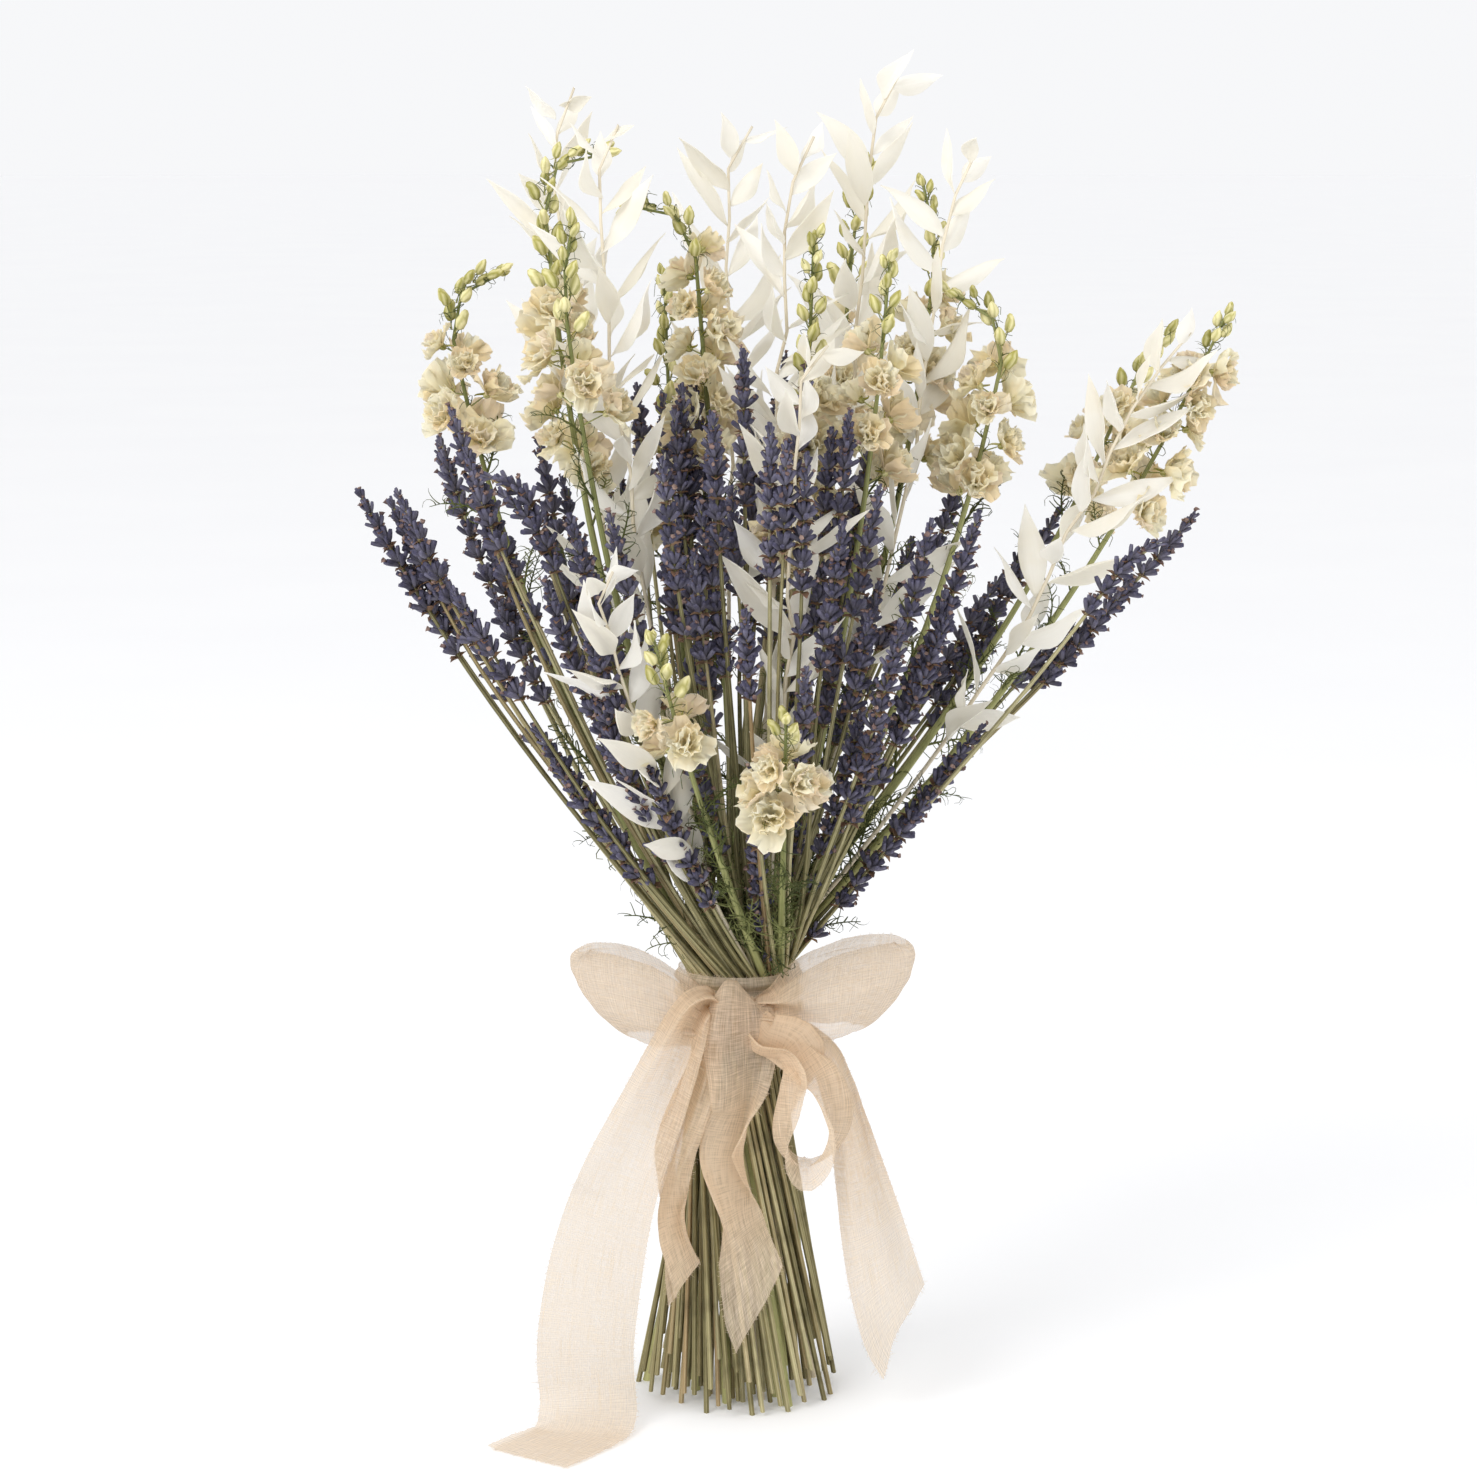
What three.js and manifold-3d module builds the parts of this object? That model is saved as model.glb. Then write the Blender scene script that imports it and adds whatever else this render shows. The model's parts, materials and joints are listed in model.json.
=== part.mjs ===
// A tied bunch of dried flowers: lavender, larkspur and bleached ruscus, bound at the neck and dressed with a
// gauze bow. Millimetres, +Z up. The bunch stands on its cut ends, the bow faces -Y and +X is to its right.
// The origin is the centre of the middle larkspur's cut end, on the standing plane.
import * as THREE from 'three';
import { mergeVertices } from 'three/addons/utils/BufferGeometryUtils.js';
import Module from 'manifold-3d';

const wasm = await Module();
wasm.setup();

// ---- the whole bunch ----
const neckHeight = 162; // standing plane to the middle of the tie
const neckRadius = 18.5; // the bundle of stems where it is tied
const footRadius = 43; // the splayed ring of cut ends that the bunch stands on
const headRise = 365; // the tie to the top of the tallest sprig
const headRadius = 190; // how far the widest sprig leans out
const fanBend = 0.65; // share of the head's rise over which the leaning stems turn upright again
const stemGap = 0.7; // least air between two stems

// ---- the three plants ----
const lavender = {
  stem: 1.05, // radius of the stem
  whorl: 5.2, // radius of a whorl of calyces
  waist: 2.7, // radius between two whorls
  pitch: 15, // length of spike that one pair of whorls takes
  nodLength: 24, // length of tip that nods over, where a sprig nods
  sides: 5,
  colour: '#55536f',
};
const larkspur = {
  stem: 1.9,
  whorl: 9.5, // radius of the open flowers at the foot of the spike
  waist: 3.2,
  bud: 4.2, // radius of the closed buds at its top
  pitch: 17,
  nodLength: 34,
  sides: 5,
  colour: '#d9cfa4',
};
const ruscus = {
  stem: 1.3,
  tip: 0.6, // radius of the stem at its tip
  leafLength: 37,
  leafWidth: 13,
  leafThickness: 0.9,
  leafSpacing: 25, // stem between two leaves
  leafLean: 42, // degrees between a leaf and the stem above it
  shortestLeaf: 13,
  leafRoll: 80, // most that a leaf turns about its own rib
  sides: 4,
  colour: '#e6dcc8',
};

// ---- binding and ribbon ----
const twineRadius = 0.8;
const tieGap = 0.4; // air between the stems, the twine and the ribbon
const tieSides = 24; // sides of the twine's turn and of the band round the neck
const gauze = {
  width: 40,
  thickness: 0.9,
  wrapHeight: 30, // height of the band round the neck
  knotWidth: 15,
  knotHeight: 17,
  knotDepth: 12,
  gathered: 9, // width of the ribbon where it is bunched into the knot
  layHeight: 14, // height at which the longest tail starts to turn flat
  floorGap: 0.1, // air under the tail that lies on the standing plane
  colour: '#ead8c0',
};

// ---- the sprigs ----
// One row a sprig: where its tip stands, as shares of headRadius to the right and to the back and of headRise
// above the tie, then the length of its spike and the height of its cut end above the standing plane. A last
// value is how many degrees the tip nods over, to the right where it is positive.
const lavenderRows = [
  [-0.78, -0.1, 0.57, 64, 0],
  [-0.73, 0.2, 0.555, 55, 6],
  [-0.68, -0.24, 0.565, 60, 0],
  [-0.64, 0.28, 0.61, 70, 0],
  [-0.58, -0.2, 0.66, 66, 12],
  [-0.43, -0.34, 0.6, 52, 0, -70],
  [-0.33, -0.44, 0.56, 58, 0],
  [-0.22, 0.3, 0.67, 60, 0],
  [-0.12, -0.08, 0.68, 62, 18],
  [0.01, -0.3, 0.725, 72, 0],
  [-0.05, -0.41, 0.66, 66, 0],
  [-0.15, -0.5, 0.62, 60, 8],
  [0.06, -0.49, 0.655, 70, 0],
  [0.02, -0.56, 0.47, 56, 0],
  [0.22, -0.3, 0.66, 64, 0],
  [0.28, 0.02, 0.61, 60, 10],
  [0.38, -0.44, 0.555, 66, 0],
  [0.48, -0.3, 0.555, 62, 0],
  [0.8, -0.26, 0.52, 52, 0, 30],
  [0.96, 0.08, 0.535, 58, 14],
  [-0.44, 0.5, 0.6, 60, 0],
  [-0.12, 0.62, 0.57, 64, 0],
  [0.17, 0.56, 0.62, 62, 0],
  [0.5, 0.46, 0.58, 60, 8],
  [0.7, 0.28, 0.53, 55, 0],
  [0.1, 0.27, 0.7, 66, 0],
];
const larkspurRows = [
  [-0.1, 0, 0.885, 140, 0, -95],
  [-0.63, 0.22, 0.79, 95, 0, 95],
  [-0.41, 0.02, 0.94, 160, 0, 110],
  [-0.36, -0.22, 0.82, 90, 10, 20],
  [0.15, -0.16, 0.84, 150, 0],
  [0.25, 0.28, 0.88, 120, 0, 15],
  [0.3, -0.26, 0.82, 100, 0],
  [0.41, 0.02, 0.86, 130, 0, -25],
  [0.56, -0.08, 0.77, 110, 6, -90],
  [0.86, 0.24, 0.705, 95, 0, 20],
  [1, -0.05, 0.76, 100, 0],
  [-0.17, -0.5, 0.44, 70, 0],
  [0.09, -0.56, 0.36, 62, 0],
  [-0.16, 0.42, 0.79, 120, 0],
];
const ruscusRows = [
  [-0.38, 0.18, 0.91, 170, 0],
  [-0.28, -0.12, 0.87, 130, 5],
  [-0.02, 0.22, 0.87, 130, 0],
  [0.1, -0.06, 0.86, 110, 8],
  [0.28, 0.06, 0.93, 170, 0],
  [0.42, -0.02, 0.85, 150, 0],
  [0.12, -0.36, 0.65, 120, 0],
  [0.82, -0.1, 0.67, 130, 10],
  [-0.25, -0.42, 0.42, 75, 0],
];

// Heights at which the stems are laid out: the straight lower half, the tie, and the fanning head.
const levels = [
  ...[0, 0.45, 0.85, 1].map((share) => share * neckHeight),
  ...[0.05, 0.11, 0.2, 0.3, 0.4, 0.5, 0.6, 0.7, 0.8, 0.9, 1].map((share) => neckHeight + share * headRise),
];
const neckLevel = 3;

// How far the spiral of stems has turned at a height: none at the tie, backwards below it.
function twistAt(z) {
  if (z < neckHeight) {
    return -Math.sqrt((footRadius / neckRadius) ** 2 - 1) * (1 - z / neckHeight);
  }
  const share = (z - neckHeight) / headRise;
  return ((headRadius / neckRadius) * Math.tanh(share / fanBend)) / Math.tanh(1 / fanBend);
}

// A place at the tie carried up or down its spiral stem. No two such stems ever cross.
function carried(place, z) {
  const twist = twistAt(z);
  return new THREE.Vector2(place.x + twist * place.y, place.y - twist * place.x);
}

function placeAtTie(tip) {
  const twist = twistAt(tip.z);
  const place = new THREE.Vector2(tip.x - twist * tip.y, tip.y + twist * tip.x);
  return place.divideScalar(1 + twist * twist).clampLength(0, neckRadius - larkspur.stem);
}

// A sprig of one plant before it has a solid: its name, its tip and the height-by-height path of its stem.
function layOut(kind, plant, rows) {
  return rows.map(([right, back, rise, spike, cut, nod = 0], index) => {
    const tip = new THREE.Vector3(right * headRadius, back * headRadius, neckHeight + rise * headRise);
    const name = `${kind}_${String(index + 1).padStart(2, '0')}`;
    return { name, plant, tip, spike, cut, nod };
  });
}

function startPath(sprig) {
  const place = sprig.fixed ? new THREE.Vector2(0, 0) : placeAtTie(sprig.tip);
  const missed = new THREE.Vector2(sprig.tip.x, sprig.tip.y).sub(carried(place, sprig.tip.z));
  sprig.start = levels.map((z) => {
    const share = Math.max(0, (z - neckHeight) / (sprig.tip.z - neckHeight));
    return carried(place, z).addScaledVector(missed, share ** 1.5);
  });
  sprig.path = sprig.start.map((point) => point.clone());
}

// Radius that a sprig takes up this far below its tip.
function radiusBelowTip(sprig, depth) {
  return depth > sprig.spike || sprig.plant === ruscus ? sprig.plant.stem : sprig.plant.whorl;
}

function directionAt(sprig, level) {
  const below = Math.max(0, level - 1);
  const above = Math.min(levels.length - 1, level + 1);
  const across = sprig.path[above].clone().sub(sprig.path[below]);
  return new THREE.Vector3(across.x, across.y, levels[above] - levels[below]).normalize();
}

function pushApart(a, b, level) {
  const z = levels[level];
  const offset = new THREE.Vector3(b.path[level].x - a.path[level].x, b.path[level].y - a.path[level].y, 0);
  const along = directionAt(a, level).add(directionAt(b, level)).normalize();
  const square = offset.clone().addScaledVector(along, -offset.dot(along));
  const room = radiusBelowTip(a, a.tip.z - z) + radiusBelowTip(b, b.tip.z - z) + stemGap;
  const short = room * 1.08 - square.length();
  if (short <= 0) return;
  const push = (short * offset.length()) / Math.max(square.length(), 0.01);
  const way = new THREE.Vector2(offset.x, offset.y).normalize();
  const share = a.fixed ? 0 : b.fixed ? 1 : 0.5;
  a.path[level].addScaledVector(way, -push * share);
  b.path[level].addScaledVector(way, push * (1 - share));
}

// Moves the stems apart wherever two would touch, and keeps them inside the tie.
function settle(sprigs) {
  const passes = 240;
  for (let pass = 0; pass < passes; pass++) {
    for (let level = 0; level < levels.length; level++) {
      const reaching = sprigs.filter((sprig) => level === 0 || levels[level - 1] < sprig.tip.z);
      for (let i = 0; i < reaching.length; i++) {
        for (let j = i + 1; j < reaching.length; j++) pushApart(reaching[i], reaching[j], level);
      }
    }
    for (const sprig of sprigs) {
      sprig.path[neckLevel].clampLength(0, neckRadius - sprig.plant.stem);
      if (sprig.fixed || pass > passes * 0.75) continue;
      const shift = sprig.path.map((point, level) => point.clone().sub(sprig.start[level]));
      sprig.path.forEach((point, level) => {
        const below = shift[Math.max(0, level - 1)];
        const above = shift[Math.min(levels.length - 1, level + 1)];
        point.addScaledVector(below.clone().add(above).addScaledVector(shift[level], -2), 0.15);
      });
    }
  }
}

// ---- centre lines ----
// A line through points in space, read by the length along it.
class CentreLine {
  constructor(points) {
    this.points = points;
    this.lengths = [0];
    for (let i = 1; i < points.length; i++) {
      this.lengths.push(this.lengths[i - 1] + points[i].distanceTo(points[i - 1]));
    }
    this.length = this.lengths.at(-1);
  }

  segment(length) {
    let i = 1;
    while (i < this.points.length - 1 && this.lengths[i] < length) i++;
    return i;
  }

  // The point, the way onward, and the two ways square to it.
  at(length) {
    const i = this.segment(length);
    const share = (length - this.lengths[i - 1]) / (this.lengths[i] - this.lengths[i - 1]);
    const point = this.points[i - 1].clone().lerp(this.points[i], share);
    const before = this.points[Math.max(0, i - 2)];
    const after = this.points[Math.min(this.points.length - 1, i + 1)];
    const along = after.clone().sub(before).normalize();
    const side = new THREE.Vector3(0, 1, 0).cross(along).normalize();
    return { point, along, side, front: side.clone().cross(along) };
  }

  lengthAtHeight(z) {
    const i = Math.max(1, this.points.findIndex((point) => point.z >= z));
    const share = (z - this.points[i - 1].z) / (this.points[i].z - this.points[i - 1].z);
    return this.lengths[i - 1] + share * (this.lengths[i] - this.lengths[i - 1]);
  }
}

// The stem's line from its cut end to its tip, the last stretch nodding over where the sprig nods.
function lineOf(sprig) {
  const through = levels.map((z, level) => new THREE.Vector3(sprig.path[level].x, sprig.path[level].y, z));
  const curve = new CentreLine(new THREE.CatmullRomCurve3(through).getPoints(levels.length * 6));
  const nodLength = sprig.nod ? sprig.plant.nodLength : 0;
  const from = curve.lengthAtHeight(sprig.cut);
  const to = curve.lengthAtHeight(sprig.tip.z) - nodLength * 0.6;
  const steps = 48;
  const points = Array.from({ length: steps + 1 }, (_, i) => curve.at(from + ((to - from) * i) / steps).point);
  const nodSteps = nodLength ? 8 : 0;
  const onward = curve.at(to).along;
  const axis = new THREE.Vector3(0, 1, 0);
  for (let i = 0; i < nodSteps; i++) {
    onward.applyAxisAngle(axis, THREE.MathUtils.degToRad(sprig.nod / nodSteps));
    points.push(points.at(-1).clone().addScaledVector(onward, nodLength / nodSteps));
  }
  return new CentreLine(points);
}

// ---- solids ----
// A turned shape, given as [radius, length] from cut end to tip, bent along a centre line. The cut is level.
function turnedAlong(line, profile, sides) {
  const outline = profile.map(([radius, length]) => new THREE.Vector2(radius, length));
  const geometry = new THREE.LatheGeometry(outline, sides);
  const position = geometry.attributes.position;
  for (let i = 0; i < position.count; i++) {
    const length = position.getY(i);
    const { point, along, side, front } = line.at(length);
    point.addScaledVector(side, position.getX(i)).addScaledVector(front, position.getZ(i));
    if (length === 0) point.addScaledVector(along, (line.points[0].z - point.z) / along.z);
    position.setXYZ(i, point.x, point.y, point.z);
  }
  return geometry;
}

// Stem rings stand at the layout heights, so that neighbours stay as far apart as they were settled.
function stemProfile(sprig, to, radiusAt) {
  const rings = levels
    .map((z) => (z > sprig.cut && z < sprig.tip.z ? sprig.line.lengthAtHeight(z) : 0))
    .filter((length) => length > 8 && length < to - 5);
  return [[0, 0], ...[0, ...rings, to].map((length) => [radiusAt(length), length])];
}

// A flower spike: bumps for the whorls, smaller towards the tip.
function spikeSolid(sprig) {
  const { plant, line, spike } = sprig;
  const foot = line.length - spike;
  const count = Math.max(2, Math.round(spike / plant.pitch));
  const topRadius = plant.bud ?? plant.whorl * 0.6;
  const profile = stemProfile(sprig, foot, () => plant.stem);
  for (let i = 0; i < count; i++) {
    const start = foot + (spike * i) / count;
    const whorl = THREE.MathUtils.lerp(plant.whorl, topRadius, i / (count - 1));
    if (i > 0) profile.push([Math.min(plant.waist, whorl * 0.7), start]);
    profile.push([whorl, start + (spike / count) * 0.6]);
  }
  return turnedAlong(line, [...profile, [0, line.length]], plant.sides);
}

function toSolid(geometry) {
  const bare = geometry.clone();
  bare.deleteAttribute('normal');
  bare.deleteAttribute('uv');
  const merged = mergeVertices(bare, 1e-3);
  const corners = merged.index.array;
  const kept = [];
  for (let i = 0; i < corners.length; i += 3) {
    const [a, b, c] = corners.slice(i, i + 3);
    if (a !== b && b !== c && c !== a) kept.push(a, b, c);
  }
  const vertProperties = new Float32Array(merged.attributes.position.array);
  return new wasm.Manifold(new wasm.Mesh({ numProp: 3, vertProperties, triVerts: new Uint32Array(kept) }));
}

function fromSolid(solid) {
  const mesh = solid.getMesh();
  const geometry = new THREE.BufferGeometry();
  geometry.setAttribute('position', new THREE.BufferAttribute(mesh.vertProperties, 3));
  geometry.setIndex(new THREE.BufferAttribute(mesh.triVerts, 1));
  return geometry;
}

function leafGeometry(length, width) {
  const outline = new THREE.Shape();
  outline.moveTo(0, 0);
  outline.quadraticCurveTo(length * 0.42, -width, length, 0);
  outline.quadraticCurveTo(length * 0.42, width, 0, 0);
  const depth = ruscus.leafThickness;
  const geometry = new THREE.ExtrudeGeometry(outline, { depth, curveSegments: 3, bevelEnabled: false });
  return geometry.translate(0, 0, -depth / 2);
}

// Balls that stand for a sprig or a leaf when the room round it is measured.
function ballsAlong(line, radiusAt, step) {
  const count = Math.max(2, Math.ceil(line.length / step));
  return Array.from({ length: count + 1 }, (_, i) => {
    const length = (line.length * i) / count;
    return { centre: line.at(length).point, radius: radiusAt(length) };
  });
}

// How long a leaf can grow from here, this way, before it meets a neighbour.
function roomFor(from, way, balls) {
  const half = ruscus.leafWidth / 2;
  const first = ruscus.stem + 4;
  const step = 3;
  for (let length = first; length <= ruscus.leafLength + step; length += step) {
    const tip = from.clone().addScaledVector(way, length);
    const swell = half * Math.sin(Math.PI * Math.min(1, length / ruscus.leafLength));
    const meets = ({ centre, radius }) => tip.distanceTo(centre) < radius + swell + stemGap;
    if (balls.some(meets)) return length - step;
  }
  return ruscus.leafLength;
}

// A ruscus branch: a thin stem with leaves that stand out alternately, each turned to where it has most room.
function ruscusSolid(sprig, balls) {
  const { line, spike } = sprig;
  const radiusAt = (length) => THREE.MathUtils.lerp(ruscus.stem, ruscus.tip, Math.max(0, length / line.length));
  const profile = [...stemProfile(sprig, line.length - 3, radiusAt), [0, line.length]];
  let solid = toSolid(turnedAlong(line, profile, ruscus.sides));
  const count = Math.round(spike / ruscus.leafSpacing);
  const lean = THREE.MathUtils.degToRad(ruscus.leafLean);
  for (let i = 0; i <= count; i++) {
    const length = line.length - (spike * i) / count - 4;
    const { point, along, side, front } = line.at(length);
    const turns = [0, 25, -25, 50, -50, 75, -75, 105, -105, 140, -140, 180];
    const tries = turns.map((turn) => {
      const angle = THREE.MathUtils.degToRad(turn + 180 * i + 20 * (i % 3));
      const out = side.clone().multiplyScalar(Math.cos(angle)).addScaledVector(front, Math.sin(angle));
      const leaning = i === 0 ? lean * 0.35 : lean;
      const way = along.clone().multiplyScalar(Math.cos(leaning)).addScaledVector(out, Math.sin(leaning));
      return { way, out, room: roomFor(point, way, balls) };
    });
    const best = tries.find(({ room }) => room >= ruscus.leafLength)
      ?? tries.reduce((a, b) => (b.room > a.room ? b : a));
    const grown = Math.max(ruscus.shortestLeaf, best.room);
    const roll = THREE.MathUtils.degToRad(ruscus.leafRoll * (1 - 0.35 * (i % 3)));
    const flat = along.clone().cross(best.out).normalize().applyAxisAngle(best.way, roll);
    const pose = new THREE.Matrix4().makeBasis(best.way, flat, best.way.clone().cross(flat));
    const leaf = leafGeometry(grown, (ruscus.leafWidth * (grown + ruscus.leafLength)) / (2 * ruscus.leafLength));
    leaf.applyMatrix4(pose.setPosition(point));
    solid = solid.add(toSolid(leaf));
    const leafLine = new CentreLine([point, point.clone().addScaledVector(best.way, grown)]);
    const swellAt = (at) => (ruscus.leafWidth / 2) * Math.sin((Math.PI * at) / leafLine.length);
    balls.push(...ballsAlong(leafLine, swellAt, 4).slice(1));
  }
  return fromSolid(solid);
}

// ---- binding twine and ribbon ----
// Radius of the whole bundle at a height, from the settled stems.
function bundleRadius(sprigs, z) {
  const reaches = sprigs
    .filter(({ line, cut }) => z >= cut && line.points.some((point) => point.z > z))
    .map(({ line, plant }) => {
      const { point, along } = line.at(line.lengthAtHeight(z));
      return Math.hypot(point.x, point.y) + plant.stem / along.z;
    });
  return Math.max(...reaches);
}

function twineGeometry(radius) {
  const corners = 6;
  const section = Array.from({ length: corners }, (_, i) => {
    const angle = (i / corners) * 2 * Math.PI;
    return new THREE.Vector2(radius + twineRadius * Math.cos(angle), twineRadius * Math.sin(angle));
  });
  const ring = new THREE.LatheGeometry([...section, section[0].clone()], tieSides);
  return ring.rotateX(Math.PI / 2).translate(0, 0, neckHeight);
}

// The band of ribbon round the neck, which follows the bundle and goes over the twine.
function wrapGeometry(sprigs) {
  const heights = [-0.5, -0.2, 0, 0.2, 0.5].map((share) => share * gauze.wrapHeight);
  const twineTop = bundleRadius(sprigs, neckHeight) + tieGap + 2 * twineRadius;
  const inner = heights.map((height) => {
    const clear = bundleRadius(sprigs, neckHeight + height);
    return Math.max(clear, Math.abs(height) < gauze.wrapHeight / 4 ? twineTop : 0) + tieGap;
  });
  const outside = heights.map((height, i) => new THREE.Vector2(inner[i] + gauze.thickness, height));
  const inside = heights.map((height, i) => new THREE.Vector2(inner[i], height)).reverse();
  const section = [...outside, ...inside, outside[0].clone()];
  const geometry = new THREE.LatheGeometry(section, tieSides).rotateX(Math.PI / 2).translate(0, 0, neckHeight);
  return { geometry, front: outside[2].x };
}

// A stretch of ribbon through its stations. Each is [right, out, height, width, turn]: out is in front of the
// surface given, height a share of the neck's height, width a share of the ribbon's flat width, and turn in
// degrees about the ribbon's own line. Its width lies the way that wideAt gives for its line and height. Its back
// is split along the same diagonals as its front, so that they stay apart where it twists.
function ribbonGeometry(stations, surfaceAt, wideAt, pieces) {
  const places = stations.map(([right, out, share]) => {
    const z = share * neckHeight;
    return new THREE.Vector3(right, -surfaceAt(z) - out, Math.max(z, gauze.thickness / 2 + gauze.floorGap));
  });
  const route = new THREE.CatmullRomCurve3(places, false, 'catmullrom', 0.5);
  const sets = stations.map(([, , , width, turn]) => new THREE.Vector3(width * gauze.width, turn, 0));
  const set = new THREE.CatmullRomCurve3(sets);
  const square = new THREE.CylinderGeometry(Math.SQRT1_2, Math.SQRT1_2, 1, 4, pieces, false, Math.PI / 4);
  const geometry = square.rotateX(Math.PI / 2);
  const corners = geometry.index.array;
  for (let i = 18 * pieces; i < 24 * pieces; i += 6) {
    const [a, b, d, , c] = corners.slice(i, i + 6);
    corners.set([a, b, c, a, c, d], i);
  }
  const position = geometry.attributes.position;
  for (let i = 0; i < position.count; i++) {
    const share = position.getZ(i) + 0.5;
    const { x: width, y: turn } = set.getPoint(share);
    const along = route.getTangent(share);
    const point = route.getPoint(share);
    const wide = wideAt(along, point.z);
    wide.addScaledVector(along, -wide.dot(along)).normalize();
    wide.applyAxisAngle(along, THREE.MathUtils.degToRad(turn));
    const thick = along.clone().cross(wide);
    const bunched = gauze.thickness * (1 + 1.2 * Math.max(0, 1 - width / (2 * gauze.gathered)));
    point.addScaledVector(wide, position.getX(i) * width);
    point.addScaledVector(thick, position.getY(i) * bunched);
    position.setXYZ(i, point.x, point.y, Math.max(point.z, gauze.floorGap));
  }
  return geometry;
}

function addPiece(group, name, geometry, colour) {
  const material = new THREE.MeshStandardMaterial({ color: colour, roughness: 0.85, metalness: 0 });
  const mesh = new THREE.Mesh(geometry, material);
  mesh.name = name;
  group.add(mesh);
}

// ---- assembly ----
const bunch = new THREE.Group();
const larkspurs = layOut('larkspur_stem', larkspur, larkspurRows);
const lavenders = layOut('lavender_sprig', lavender, lavenderRows);
const ruscuses = layOut('ruscus_branch', ruscus, ruscusRows);
const sprigs = [...larkspurs, ...lavenders, ...ruscuses];
larkspurs[0].fixed = true; // the middle stem, whose cut end is the origin
sprigs.forEach(startPath);
settle(sprigs);
for (const sprig of sprigs) sprig.line = lineOf(sprig);

for (const sprig of [...larkspurs, ...lavenders]) {
  addPiece(bunch, sprig.name, spikeSolid(sprig), sprig.plant.colour);
}
const balls = new Map(sprigs.map((sprig) => {
  const radiusAt = (length) => radiusBelowTip(sprig, sprig.line.length - length);
  return [sprig, ballsAlong(sprig.line, radiusAt, 5)];
}));
const leafBalls = [];
for (const sprig of ruscuses) {
  const others = sprigs.filter((other) => other !== sprig).flatMap((other) => balls.get(other));
  const seen = [...others, ...leafBalls];
  const before = seen.length;
  addPiece(bunch, sprig.name, ruscusSolid(sprig, seen), ruscus.colour);
  leafBalls.push(...seen.slice(before));
}

const tieRadius = bundleRadius(sprigs, neckHeight) + tieGap + twineRadius;
addPiece(bunch, 'binding_twine', twineGeometry(tieRadius), '#b79b6f');
const wrap = wrapGeometry(sprigs);
addPiece(bunch, 'ribbon_wrap', wrap.geometry, gauze.colour);

const knotBack = wrap.front + tieGap;
const knot = new THREE.SphereGeometry(0.5, 10, 7).rotateX(Math.PI / 2);
knot.scale(gauze.knotWidth, gauze.knotDepth, gauze.knotHeight);
addPiece(bunch, 'ribbon_knot', knot.translate(0, -knotBack - gauze.knotDepth / 2, neckHeight), gauze.colour);

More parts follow.
